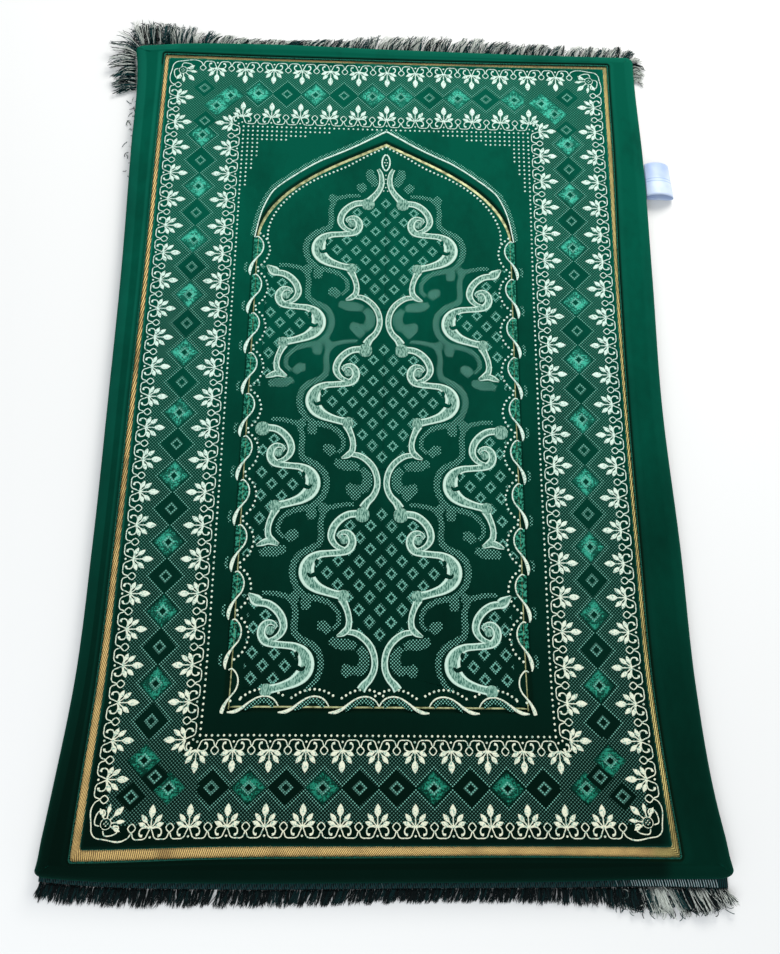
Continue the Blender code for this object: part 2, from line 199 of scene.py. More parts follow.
@dataclass(frozen=True)
class Cloth:
    """The even pattern's outlines, and the way the real rug pulls away from them.

    The tables hold, for each cross-section and each lengthwise section, how far every
    outline really lies from the middle.
    """

    border: tuple[float, float] = (0.3375, 0.5555)
    stripe: tuple[float, float] = (0.3510, 0.5700)
    pile: tuple[float, float] = (0.3950, 0.5980)
    stripe_share: float = 0.58
    corner_radius: float = 0.014
    pile_top: float = 0.0250
    face_top: float = 0.0235
    stripe_top: float = 0.0205
    niche_half: float = 0.1910
    niche_foot: float = -0.4080
    niche_shoulder: float = 0.2450
    arch_rise: float = 0.1710
    arch_curve: float = 0.45
    # along, pile left and right, stripe left and right, border left and right
    sides: Table = (
        (-0.606, 0.4150, 0.4430, 0.3715, 0.3765, 0.3520, 0.3590),
        (-0.500, 0.4020, 0.4230, 0.3655, 0.3630, 0.3475, 0.3500),
        (-0.380, 0.3895, 0.4120, 0.3580, 0.3520, 0.3410, 0.3400),
        (-0.200, 0.3850, 0.4070, 0.3540, 0.3475, 0.3395, 0.3375),
        (0.000, 0.3850, 0.3980, 0.3520, 0.3450, 0.3390, 0.3360),
        (0.200, 0.3860, 0.3995, 0.3505, 0.3460, 0.3385, 0.3360),
        (0.400, 0.3910, 0.4000, 0.3510, 0.3500, 0.3385, 0.3375),
        (0.540, 0.3940, 0.3960, 0.3505, 0.3505, 0.3385, 0.3385),
        (0.600, 0.4010, 0.3960, 0.3505, 0.3520, 0.3385, 0.3390),
    )
    # across, pile far and near, stripe far and near, border far and near
    ends: Table = (
        (-0.400, 0.5830, 0.6020, 0.5640, 0.5850, 0.5530, 0.5625),
        (-0.330, 0.5900, 0.6070, 0.5640, 0.5840, 0.5530, 0.5615),
        (-0.200, 0.5935, 0.6085, 0.5625, 0.5795, 0.5525, 0.5580),
        (0.000, 0.5900, 0.6075, 0.5620, 0.5770, 0.5525, 0.5570),
        (0.200, 0.5875, 0.6055, 0.5630, 0.5755, 0.5530, 0.5565),
        (0.330, 0.5870, 0.6020, 0.5645, 0.5765, 0.5535, 0.5560),
        (0.440, 0.5880, 0.6010, 0.5650, 0.5775, 0.5540, 0.5555),
    )
    # the padded edge from the floor up: how far in, and how high
    edge: Table = (
        (0.0075, 0.0000), (0.0024, 0.0040), (0.0000, 0.0110),
        (0.0026, 0.0185), (0.0080, 0.0230), (0.0165, 0.0250),
    )

    @property
    def face_edge(self) -> tuple[float, ...]:
        """Half width and half length of the line where the stripe meets the woven face."""
        return tuple(s - self.stripe_share * (s - b) for s, b in zip(self.stripe, self.border))

    def _shift(self, distance: Array, station: Array, rows: Array, axis: int,
               right: int) -> Array:
        """How far outwards a point moves: a share of each nested outline's own move.

        Args:
            distance: the points' distances from the middle, and station their places along.
            rows: the table of sides or of ends.
            axis: 0 for sides and 1 for ends.
            right: 0 for the table's first outline of each pair and 1 for its second.

        Returns:
            The moves, rising evenly from the middle to each outline.
        """
        halves = [outline[axis] for outline in (self.border, self.stripe, self.pile)]
        border, stripe, pile = (smooth(station, rows[:, 0], rows[:, column + right]) - half
                                for column, half in zip((5, 3, 1), halves))
        inner = np.clip(distance / halves[0], 0, 1)
        middle = np.clip((distance - halves[0]) / (halves[1] - halves[0]), 0, 1)
        outer = np.clip((distance - halves[1]) / (halves[2] - halves[1]), 0, 1)
        return border * inner + (stripe - border) * middle + (pile - stripe) * outer

    def plan(self, flat: Array) -> Array:
        """Plan positions of pattern points.

        Args:
            flat: points of (across, along), in an array of any shape that ends in 2.

        Returns:
            Their (x, y) on the real rug.
        """
        across, along = flat[..., 0], flat[..., 1]
        sides, ends = np.array(self.sides), np.array(self.ends)
        x = across + np.where(across < 0, -self._shift(-across, along, sides, 0, 0),
                              self._shift(across, along, sides, 0, 1))
        y = along + np.where(along < 0, -self._shift(-along, across, ends, 1, 1),
                             self._shift(along, across, ends, 1, 0))
        return np.stack([x, y], axis=-1)

    def swell(self, flat: Array) -> Array:
        """Small rise and fall of the padding: three slow crossing waves."""
        across, along = flat[..., 0], flat[..., 1]
        return MM * (0.45 * np.sin(17 * across + 1.1) * np.cos(11 * along - 0.4)
                     + 0.35 * np.sin(7 * across - 9 * along + 2.0)
                     + 0.20 * np.sin(31 * across + 23 * along))

    def lay(self, flat: Array, lift: Array | float) -> Array:
        """Points on the woven face.

        Args:
            flat: pattern points.
            lift: their height over the face.

        Returns:
            Their places in space.
        """
        height = self.face_top + self.swell(flat) + lift
        return np.concatenate([self.plan(flat), np.broadcast_to(height, flat.shape[:-1])[..., None]],
                              axis=-1)

    def arch(self, count: int) -> Array:
        """Right half of the arch from shoulder to point, as (across, along).

        The rise is a straight slope plus a quarter of a squarish ellipse.

        Args:
            count: number of points.

        Returns:
            The points, evenly spaced.
        """
        share = np.linspace(0, 1, count) ** 1.4
        bulge = np.sqrt(1 - (1 - share) ** 4)
        rise = self.arch_rise * ((1 - self.arch_curve) * share + self.arch_curve * bulge)
        even = np.column_stack([self.niche_half * (1 - share), self.niche_shoulder + rise])
        return resample(even, count)

    def frame_point(self, side: Side, a: Array, h: Array, line: tuple[float, float],
                    inward: bool) -> Array:
        """Pattern points from a border row's own directions.

        Args:
            side: which side the row is on.
            a: distance along the row, and h its height over the row's foot line.
            line: the foot line's half width and half length.
            inward: True if the row points to the middle of the rug.

        Returns:
            Points as (across, along).
        """
        ends = side in (Side.FAR, Side.NEAR)
        out = (line[1] if ends else line[0]) + (-h if inward else h)
        out = out if side in (Side.FAR, Side.RIGHT) else -out
        a = a if side in (Side.FAR, Side.LEFT) else -a
        return np.stack([a, out] if ends else [out, a], axis=-1)


class Relief:
    """Gathers grids of pattern points and makes one mesh of them, laid on the cloth."""

    SUNK = -0.15 * MM

    def __init__(self, cloth: Cloth) -> None:
        """Start empty, for one cloth."""
        self.cloth = cloth
        self.points: list[Array] = []
        self.flats: list[Array] = []
        self.quads: list[Array] = []
        self.edges: list[Array] = []
        self.bands: list[Array] = []
        self.total = 0

    def add(self, flat: Array, lift: Array | float, edge: Array | float = 0.0,
            band: Array | None = None, skirt: bool = False) -> None:
        """Add one grid, or many alike, of pattern points.

        Args:
            flat: points of (rows, columns, 2), or of (copies, rows, columns, 2).
            lift: height over the face at each point.
            edge: from 0 in the middle of a figure to 1 at its rim, at each point.
            band: a second pair of coordinates for the finish, or None for the pattern's own.
            skirt: True to drop a narrow wall round the grid into the cloth.
        """
        flat = flat if flat.ndim == 4 else flat[None]
        shape = flat.shape[:3]
        lift = np.broadcast_to(lift, shape)
        edge = np.broadcast_to(edge, shape)
        band = flat if band is None else np.broadcast_to(band, flat.shape)
        if skirt:
            around = ((0, 0), (1, 1), (1, 1))
            flat = np.pad(flat, (*around, (0, 0)), mode="edge")
            band = np.pad(band, (*around, (0, 0)), mode="edge")
            edge = np.pad(edge, around, mode="edge")
            lift = np.pad(lift, around, constant_values=self.SUNK)
        copies, rows, columns = flat.shape[:3]
        quads = grid_quads(rows, columns)
        ring = flat.reshape(copies, -1, 2)[:, quads]
        ahead = np.roll(ring, -1, axis=2)
        area = (ring[..., 0] * ahead[..., 1] - ahead[..., 0] * ring[..., 1]).sum(axis=(1, 2))
        quads = np.where(area[:, None, None] < 0, quads[None, :, ::-1], quads[None])
        start = self.total + np.arange(copies)[:, None, None] * rows * columns
        self.quads.append((quads + start).reshape(-1, 4))
        self.points.append(self.cloth.lay(flat, lift).reshape(-1, 3))
        self.flats.append(flat.reshape(-1, 2))
        self.bands.append(band.reshape(-1, 2))
        self.edges.append(edge.reshape(-1))
        self.total += copies * rows * columns

    def ribbon(self, path: Array, half: Array | float, height: float,
               section: Section = Section.ROUND, base: float = 0.0, tilt: float = 0.0) -> None:
        """Add a band with a softly rounded section, carried along a path or several alike.

        Args:
            path: points of (count, 2), or of (copies, count, 2).
            half: half width at each point.
            height: how far the middle stands over the face.
            section: places across it.
            base: height of the ground that it lies on.
            tilt: how much the ground rises to the ribbon's left rim.
        """
        path = path if path.ndim == 3 else path[None]
        places = np.array(section.value, dtype=float)
        tangent = np.gradient(path, axis=1)
        tangent /= np.maximum(np.linalg.norm(tangent, axis=2)[..., None], 1e-12)
        normal = np.stack([-tangent[..., 1], tangent[..., 0]], axis=-1)
        half = np.broadcast_to(half, path.shape[:2])
        reach = half[..., None] * places
        flat = path[:, :, None] + normal[:, :, None] * reach[..., None]
        ground = base + tilt * places
        crown = np.where(np.abs(places) > 0.99, self.SUNK, height * (1 - 0.3 * places ** 2))
        lift = np.broadcast_to(ground + crown, reach.shape).copy()
        lift[:, (0, -1)] = ground + self.SUNK
        self.add(flat, lift, places)

    def leaves(self, grids: Array) -> None:
        """Add leaves under a low crown: grids with their columns at Section.LEAF's places."""
        places = np.array(Section.LEAF.value)
        self.add(grids, np.where(np.abs(places) > 0.9, self.SUNK, 0.75 * MM * (1 - 0.35 * places ** 2)),
                 places)

    def discs(self, centres: Array, radius: Array | float, height: float,
              cells: int = 4, edge: float | None = None) -> None:
        """Add low round domes.

        Args:
            centres: their middles, as (count, 2).
            radius: their radii.
            height: how far their tops stand over the face.
            cells: facets across one.
            edge: value of the rim attribute all over, or None for the distance out.
        """
        unit = round_grid(cells)
        rim = np.linalg.norm(unit, axis=-1)
        size = np.broadcast_to(radius, len(centres))[:, None, None, None]
        flat = centres[:, None, None] + unit * size
        lift = np.where(rim > 0.99, self.SUNK, height * (1 - 0.5 * rim ** 2))
        self.add(flat, lift, rim if edge is None else edge)

    def build(self, name: str) -> Piece:
        """Make the mesh object.

        Args:
            name: the piece's name.

        Returns:
            The object, with maps for the pattern and the band and a rim attribute.
        """
        return mesh_object(name, np.concatenate(self.points), np.concatenate(self.quads),
                           {"weave": np.concatenate(self.flats), "band": np.concatenate(self.bands)},
                           {"rim": np.concatenate(self.edges)})


def mesh_object(name: str, points: Array, quads: Array,
                maps: dict[str, Array], values: dict[str, Array]) -> Piece:
    """Mesh object from whole arrays.

    Args:
        name: the piece's name.
        points: places of the vertices.
        quads: four vertex numbers for each face, anticlockwise seen from outside.
        maps: name of each UV map to a pair for every vertex.
        values: name of each attribute to a number for every vertex.

    Returns:
        The smooth-shaded object, linked to the scene.
    """
    mesh = bpy.data.meshes.new(name)
    mesh.vertices.add(len(points))
    mesh.vertices.foreach_set("co", np.ascontiguousarray(points, dtype=np.float32).ravel())
    mesh.loops.add(quads.size)
    mesh.loops.foreach_set("vertex_index", np.ascontiguousarray(quads, dtype=np.int32).ravel())
    mesh.polygons.add(len(quads))
    mesh.polygons.foreach_set("loop_start", np.arange(0, quads.size, 4, dtype=np.int32))
    for label, pairs in maps.items():
        layer = mesh.uv_layers.new(name=label)
        layer.data.foreach_set("uv", pairs[quads.ravel()].astype(np.float32).ravel())
    for label, numbers in values.items():
        layer = mesh.attributes.new(label, "FLOAT", "POINT")
        layer.data.foreach_set("value", numbers.astype(np.float32))
    mesh.update(calc_edges=True)
    mesh.validate()
    mesh.shade_smooth()
    obj = bpy.data.objects.new(name, mesh)
    bpy.context.scene.collection.objects.link(obj)
    return obj


def weld(obj: Piece, distance: float = 1e-5) -> None:
    """Join the vertices of a mesh that lie on each other, so that its seams close.

    Args:
        obj: the mesh object.
        distance: how near they lie.
    """
    shape = bmesh.new()
    shape.from_mesh(obj.data)
    bmesh.ops.remove_doubles(shape, verts=shape.verts, dist=distance)
    bmesh.ops.dissolve_degenerate(shape, edges=shape.edges, dist=1e-7)
    shape.to_mesh(obj.data)
    shape.free()


# ---- finishes


class Signal:
    """What one node of a material gives, with plain arithmetic."""

    def __init__(self, shader: "Shader", socket: bpy.types.NodeSocket) -> None:
        """Keep the material and the output socket."""
        self.shader = shader
        self.socket = socket

    def __add__(self, other: "Signal | float") -> "Signal":
        """Sum."""
        return self.shader.math("ADD", self, other)

    def __sub__(self, other: "Signal | float") -> "Signal":
        """Difference."""
        return self.shader.math("SUBTRACT", self, other)

    def __rsub__(self, other: float) -> "Signal":
        """Difference from a number."""
        return self.shader.math("SUBTRACT", other, self)

    def __mul__(self, other: "Signal | float") -> "Signal":
        """Product."""
        return self.shader.math("MULTIPLY", self, other)

    def __truediv__(self, other: float) -> "Signal":
        """Share of a number."""
        return self.shader.math("DIVIDE", self, other)

    def __abs__(self) -> "Signal":
        """Size without the sign."""
        return self.shader.math("ABSOLUTE", self)

    __radd__ = __add__


Input = Signal | float | Triple


class Shader:
    """Short words for building a node material."""

    def __init__(self, name: str) -> None:
        """Make a new material with one Principled shader."""
        self.material = bpy.data.materials.new(name)
        self.material.use_nodes = True
        self.nodes = self.material.node_tree.nodes
        self.inputs = self.nodes["Principled BSDF"].inputs

    def put(self, socket: bpy.types.NodeSocket, value: Input) -> None:
        """Link or set one input.

        Args:
            socket: the input.
            value: another node's signal, a number or a colour.
        """
        if isinstance(value, Signal):
            self.material.node_tree.links.new(value.socket, socket)
        elif isinstance(value, tuple) and socket.type == "RGBA":
            socket.default_value = (*value, 1.0)
        else:
            socket.default_value = value

    def fill(self, node: bpy.types.Node, inputs: dict[str | int, Input]) -> tuple[Signal, ...]:
        """Link or set a node's inputs, and give its outputs."""
        for key, value in inputs.items():
            self.put(node.inputs[key], value)
        return tuple(Signal(self, socket) for socket in node.outputs)

    def uv(self, name: str) -> Signal:
        """The piece's own map of that name."""
        node = self.nodes.new("ShaderNodeUVMap")
        node.uv_map = name
        return Signal(self, node.outputs["UV"])

    def place(self) -> Signal:
        """Object coordinates, in metres."""
        return Signal(self, self.nodes.new("ShaderNodeTexCoord").outputs["Object"])

    def value(self, name: str) -> Signal:
        """A number that each vertex carries."""
        node = self.nodes.new("ShaderNodeAttribute")
        node.attribute_name = name
        return Signal(self, node.outputs["Fac"])

    def split(self, vector: Signal) -> tuple[Signal, ...]:
        """The three parts of a vector."""
        return self.fill(self.nodes.new("ShaderNodeSeparateXYZ"), {0: vector})

    def math(self, word: str, *terms: Input) -> Signal:
        """One Math node: the operation's name, then its inputs."""
        node = self.nodes.new("ShaderNodeMath")
        node.operation = word
        return self.fill(node, dict(enumerate(terms)))[0]

    def wave(self, phase: Signal, scale: float) -> Signal:
        """Sine of a phase that turns scale times for each unit."""
        return self.math("SINE", phase * (2 * math.pi * scale))

    def step(self, value: Signal, low: float, high: float) -> Signal:
        """Soft step from 0 at low to 1 at high, either way round.

        Args:
            value: what steps.
            low: where it is still 0.
            high: where it has come to 1.

        Returns:
            The step.
        """
        node = self.nodes.new("ShaderNodeMapRange")
        node.interpolation_type = "SMOOTHSTEP"
        flipped = low > high
        return self.fill(node, {"Value": value, "From Min": min(low, high), "From Max": max(low, high),
                                "To Min": float(flipped), "To Max": float(not flipped)})[0]

    def noise(self, where: Signal, scale: float, stretch: Triple = (1.0, 1.0, 1.0),
              detail: float = 2.0) -> Signal:
        """Soft noise from 0 to 1, finer with a larger scale and drawn out by stretch."""
        turned = self.fill(self.nodes.new("ShaderNodeMapping"), {"Vector": where, "Scale": stretch})[0]
        return self.fill(self.nodes.new("ShaderNodeTexNoise"),
                         {"Vector": turned, "Scale": scale, "Detail": detail})[0]

    def mix(self, share: Input, first: Input, second: Input) -> Signal:
        """Colour between two colours."""
        node = self.nodes.new("ShaderNodeMix")
        node.data_type = "RGBA"
        return self.fill(node, {0: share, 6: first, 7: second})[2]

    def bump(self, height: Signal, depth: float, strength: float = 1.0) -> None:
        """Raise the surface by a height from 0 to 1, depth metres high."""
        node = self.nodes.new("ShaderNodeBump")
        self.put(self.inputs["Normal"], self.fill(node, {"Height": height, "Distance": depth,
                                                         "Strength": strength})[0])

    def finish(self, colour: Input, roughness: float = 0.8, metallic: float = 0.0, sheen: float = 0.0,
               sheen_roughness: float = 0.5, tint: Triple = (1.0, 1.0, 1.0),
               specular: float = 0.3) -> Material:
        """Set the shader's own inputs and give the material.

        Args:
            colour: base colour.
            roughness: how dull it is.
            metallic: 1 for bare metal.
            sheen: strength of the soft glow of standing fibres.
            sheen_roughness: how widely the glow spreads.
            tint: colour of the glow.
            specular: level of the plain reflection.

        Returns:
            The material.
        """
        for name, value in (("Base Color", colour), ("Roughness", roughness), ("Metallic", metallic),
                            ("Sheen Weight", sheen), ("Sheen Roughness", sheen_roughness),
                            ("Sheen Tint", tint), ("Specular IOR Level", specular)):
            self.put(self.inputs[name], value)
        return self.material


@dataclass(frozen=True)
class VelourFinish:
    """Deep green cut pile, with a painted sheen that lightens it to the far end, streaks of brushed pile
    and fine fibres.
    """

    # dark and light: ends of the painted sheen, dark as painted shade to the near end and light as painted
    # sheen to the far end
    dark: Triple = (0.0004, 0.0045, 0.0026)
    light: Triple = (0.0004, 0.0720, 0.0430)
    # root: colour of the painted shade in grooves and recesses
    root: Triple = (0.0015, 0.0060, 0.0020)
    # mint: colour of the painted highlight on lips, and the lighter colour of loose pile tips
    mint: Triple = (0.020, 0.330, 0.225)
    pale: Triple = (0.210, 0.540, 0.430)
    fleck: Triple = (0.050, 0.360, 0.235)
    # mint of the border's diamonds: painted shade darkens it to the near end and painted sheen brightens it
    # to the far end
    diamond_near_shade: Triple = (0.010, 0.200, 0.120)
    diamond_far_sheen: Triple = (0.070, 0.540, 0.380)
    glow: Triple = (0.01, 1.0, 0.65)
    tip_glow: Triple = (0.25, 1.0, 0.80)
    # painted sheen: where it runs from dark to light along the rug, and the right strip that it paints a
    # little lighter
    painted_sheen_ends: tuple[float, float] = (-0.62, 0.60)
    painted_sheen_right_strip: tuple[float, float] = (0.345, 0.365)
    hatch_step: float = 4.4 * MM
    cell: tuple[float, float] = (28.2 * MM, 31.2 * MM)
    diamond: tuple[float, float] = (22.0 * MM, 21.0 * MM)

    def ground(self, shader: Shader) -> Signal:
        """Green of the pile, with a painted sheen: lighter to the far end and darker to the near end.

        The painted sheen rises along the rug and a little on its right strip, and broad brushed
        patches and short strokes make it uneven.  Grooves take the roots' dark colour as painted shade, and
        lips take mint as a painted highlight.

        Args:
            shader: the material being built.

        Returns:
            The colour.
        """
        place = shader.place()
        across, along, _ = shader.split(place)
        # painted sheen: lighter to the far end and a little on the right strip, made uneven by the brushed
        # noise
        painted_sheen = shader.step(along, *self.painted_sheen_ends) + shader.step(across, *self.painted_sheen_right_strip) * 0.13
        brushed = shader.noise(place, 6.0, (1.6, 1.0, 1.0), 4.0)
        strokes = shader.noise(place, 110.0, (1.0, 0.6, 1.0), 3.0)
        painted_sheen = painted_sheen * (1.0 + ((brushed - 0.5) * 1.4 + (strokes - 0.5) * 0.35))
        colour = shader.mix(shader.math("MAXIMUM", painted_sheen, 0.0), self.dark, self.light)
        # painted shade in grooves and recesses, then a painted highlight on lips
        colour = shader.mix(shader.value("deep"), colour, self.root)
        return shader.mix(shader.value("lip") * (brushed * 0.7), colour, self.mint)

    def threads(self, shader: Shader, x: Signal, y: Signal) -> Signal:
        """Diagonal rows of dots: the product of an upright and a level sine."""
        return shader.wave(x, 1 / self.hatch_step) * shader.wave(y, 1 / self.hatch_step)

    def hatch(self, shader: Shader, where: Signal) -> Signal:
        """The same rows cut off, to 1 on a dot and 0 between the dots."""
        x, y, _ = shader.split(where)
        return shader.step(self.threads(shader, x, y), 0.22, 0.60)

    def tips(self) -> Material:
        """Loose pile tips, lighter than the pile."""
        shader = Shader("velour_tips")
        spread = shader.noise(shader.place(), 420.0, detail=1.0)
        colour = shader.mix(spread * 0.35, self.ground(shader), self.mint)
        return shader.finish(colour, roughness=0.85, sheen=0.3, tint=self.tip_glow, specular=0.15)

    def close(self, shader: Shader, colour: Signal, sheen: float = 0.06) -> Material:
        """End a velour material with the pile's fine ends and its glow."""
        shader.bump(shader.noise(shader.place(), 900.0, (1.0, 1.0, 0.4)), 0.5 * MM, 0.6)
        return shader.finish(colour, roughness=0.95, sheen=sheen, sheen_roughness=0.45,
                             tint=self.glow, specular=0.03)

    def plain(self) -> Material:
        """The pile itself."""
        shader = Shader("velour_green")
        return self.close(shader, self.ground(shader), 0.08)

    def hatched(self) -> Material:
        """Green pile under fine pale hatching."""
        shader = Shader("velour_hatched")
        fade = shader.noise(shader.place(), 140.0, detail=1.0)
        share = self.hatch(shader, shader.uv("weave")) * (0.60 + fade * 0.5)
        return self.close(shader, shader.mix(share, self.ground(shader), self.pale))

    def speckled(self) -> Material:
        """Green pile with bright mint flecks."""
        shader = Shader("velour_speckled")
        flecks = shader.step(shader.noise(shader.uv("weave"), 260.0), 0.44, 0.60)
        return self.close(shader, shader.mix(flecks * 0.70, self.ground(shader), self.fleck))

    def lattice(self) -> Material:
        """Green pile with a half-drop lattice of small dotted diamonds.

        Two slanting coordinates count cells, and the larger of their distances from a
        cell's middle tells how far out in the diamond a point lies.
        """
        shader = Shader("velour_lattice")
        x, y, _ = shader.split(shader.uv("band"))
        slants = (x / self.cell[0] + y / self.cell[1], x / self.cell[0] - y / self.cell[1])
        out = shader.math("MAXIMUM", *(abs(shader.math("FRACT", slant) - 0.5) for slant in slants))
        ring = shader.step(out, 0.12, 0.16) * shader.step(out, 0.315, 0.27)
        core = shader.step(out, 0.23, 0.18) * 0.55
        dots = shader.math("MAXIMUM", shader.step(self.threads(shader, x, y), -0.05, 0.45), core)
        return self.close(shader, shader.mix(ring * (dots * 0.8), self.ground(shader), self.pale))

    def border(self) -> Material:
        """Ground of the woven border: hatching with a row of dark and mint diamonds.

        The band map gives the place along in palmette pitches and the place across in
        metres from the row's middle line.  Out is 1 on a diamond's edge.
        """
        shader = Shader("velour_border")
        along, across, _ = shader.split(shader.uv("band"))
        odd = abs(shader.math("FLOORED_MODULO", shader.math("FLOOR", along), 2.0))
        a = (shader.math("FRACT", along) - 0.5) * PITCH
        out = abs(a) / self.diamond[0] + abs(across) / self.diamond[1]
        weave = shader.uv("weave")
        dots = self.hatch(shader, weave)
        ground = self.ground(shader)
        outside = shader.step(out, 1.00, 1.04)
        rim = outside * shader.step(out, 1.30, 1.22)
        colour = shader.mix(dots * (outside * 0.30 + rim * 0.45), ground, self.pale)
        inside = (1.0 - odd) * shader.step(out, 1.02, 0.70)
        flecks = shader.noise(weave, 430.0) + shader.noise(weave, 70.0) * 0.8
        # painted sheen: the diamonds' mint brighter to the far end, painted shade darker to the near end
        near = shader.step(shader.split(shader.place())[1], -0.75, 0.30)
        mint = shader.mix(near, self.diamond_near_shade, self.diamond_far_sheen)
        colour = shader.mix(inside * (0.10 + shader.step(flecks, 0.84, 1.02) * 0.68), colour, mint)
        ring = shader.step(out, 0.20, 0.25) * shader.step(out, 0.44, 0.39)
        colour = shader.mix(ring * (0.15 + dots * 0.65), colour, self.pale)
        return self.close(shader, shader.mix(shader.step(out, 0.24, 0.19), colour, ground))


@dataclass(frozen=True)
class FigureFinish:
    """Cream yarn of the woven figures, with brighter rims on the broad ribbons."""

    cream: Triple = (0.640, 0.800, 0.700)
    warm: Triple = (0.740, 0.740, 0.560)
    rim: Triple = (0.14, 0.30, 0.23)
    gap: Triple = (0.22, 0.38, 0.31)
    pale: Triple = (0.035, 0.130, 0.095)
    light: Triple = (0.250, 0.430, 0.340)
    bright: Triple = (0.600, 0.780, 0.660)

    def close(self, shader: Shader, colour: Signal, roughness: float) -> Material:
        """End a figure's material with fine rows of yarn, from two crossing sines."""
        x, y, _ = shader.split(shader.uv("weave"))
        yarns = shader.wave(x + y * 0.15, 560.0) * 0.3 + shader.wave(y, 420.0) * 0.2
        shader.bump(yarns, 0.25 * MM, 0.5)
        return shader.finish(colour, roughness=roughness, sheen=0.05, specular=0.1)

    def solid(self) -> Material:
        """Cream of the small figures, warmer to the near end."""
        shader = Shader("figure_cream")
        near = shader.step(shader.split(shader.place())[1], 0.1, -0.6)
        rim = shader.step(abs(shader.value("rim")), 0.75, 1.0)
        colour = shader.mix(rim * 0.45, shader.mix(near, self.cream, self.warm), self.rim)
        speckle = shader.noise(shader.place(), 520.0, detail=1.0)
        return self.close(shader, shader.mix(shader.step(speckle, 0.50, 0.68), colour, self.gap), 0.8)

    def ribbon(self) -> Material:
        """Pale broad ribbon, hatched along its yarns, with bright lines at both rims."""
        shader = Shader("figure_ribbon")
        rim = abs(shader.value("rim"))
        line = shader.step(rim, 0.50, 0.66) * shader.step(rim, 0.99, 0.92)
        grain = shader.noise(shader.uv("weave"), 620.0, (1.0, 0.30, 1.0))
        colour = shader.mix(shader.step(grain, 0.38, 0.60), self.pale, self.light)
        return self.close(shader, shader.mix(line * 0.8, colour, self.bright), 0.85)


@dataclass(frozen=True)
class GoldFinish:
    """Twill of glittering gold yarn: slanting cords, each of finer twisted strands."""

    light: Triple = (0.95, 0.66, 0.24)
    dark: Triple = (0.11, 0.052, 0.010)
    # the right side's gold: a lit copy of the twill, painted yellower as painted light
    right_painted_light: Triple = (0.800, 0.680, 0.230)
    right_painted_dark: Triple = (0.080, 0.060, 0.008)
    # painted reflection of the pile and painted shade on the far end's gold
    far_reflection_and_shade: Triple = (0.060, 0.100, 0.045)
    thread_dark: Triple = (0.12, 0.13, 0.04)
    thread_light: Triple = (0.50, 0.52, 0.26)
    cord_step: float = 3.0 * MM

    def twill(self) -> Material:
        """Cords run slantwise across the band map of (run, across).

        The gold on the right side is a lit copy, painted yellower as painted light, and at the far end
        it is painted dull green as a painted reflection of the pile with painted shade.
        """
        shader = Shader("gold_twill")
        run, across, _ = shader.split(shader.uv("band"))
        cords = shader.wave(run + across, 1 / self.cord_step)
        strands = shader.wave(run - across * 0.4, 1600.0)
        worn = shader.step(shader.noise(shader.place(), 26.0), 0.05, 0.62)
        tone = shader.step(cords, -0.75, 0.55) * worn
        x, y, _ = shader.split(shader.place())
        # painted light on the right side's gold, then a painted reflection and painted shade at the far end
        colour = shader.mix(shader.step(x, 0.330, 0.345) * 0.8, shader.mix(tone, self.dark, self.light),
                            shader.mix(tone, self.right_painted_dark, self.right_painted_light))
        colour = shader.mix(shader.step(y, 0.54, 0.57) * 0.55, colour, self.far_reflection_and_shade)
        shader.bump(cords * 0.4 + strands * 0.1, 0.6 * MM)
        return shader.finish(colour, roughness=0.42, metallic=0.35, specular=0.5)

    def thread(self) -> Material:
        """Single gold line in the niche's channel."""
        shader = Shader("gold_thread")
        worn = shader.step(shader.noise(shader.place(), 160.0), 0.25, 0.7)
        shader.bump(shader.noise(shader.place(), 1500.0), 0.3 * MM, 0.6)
        return shader.finish(shader.mix(worn, self.thread_dark, self.thread_light), roughness=0.5,
                             metallic=0.2, specular=0.4)


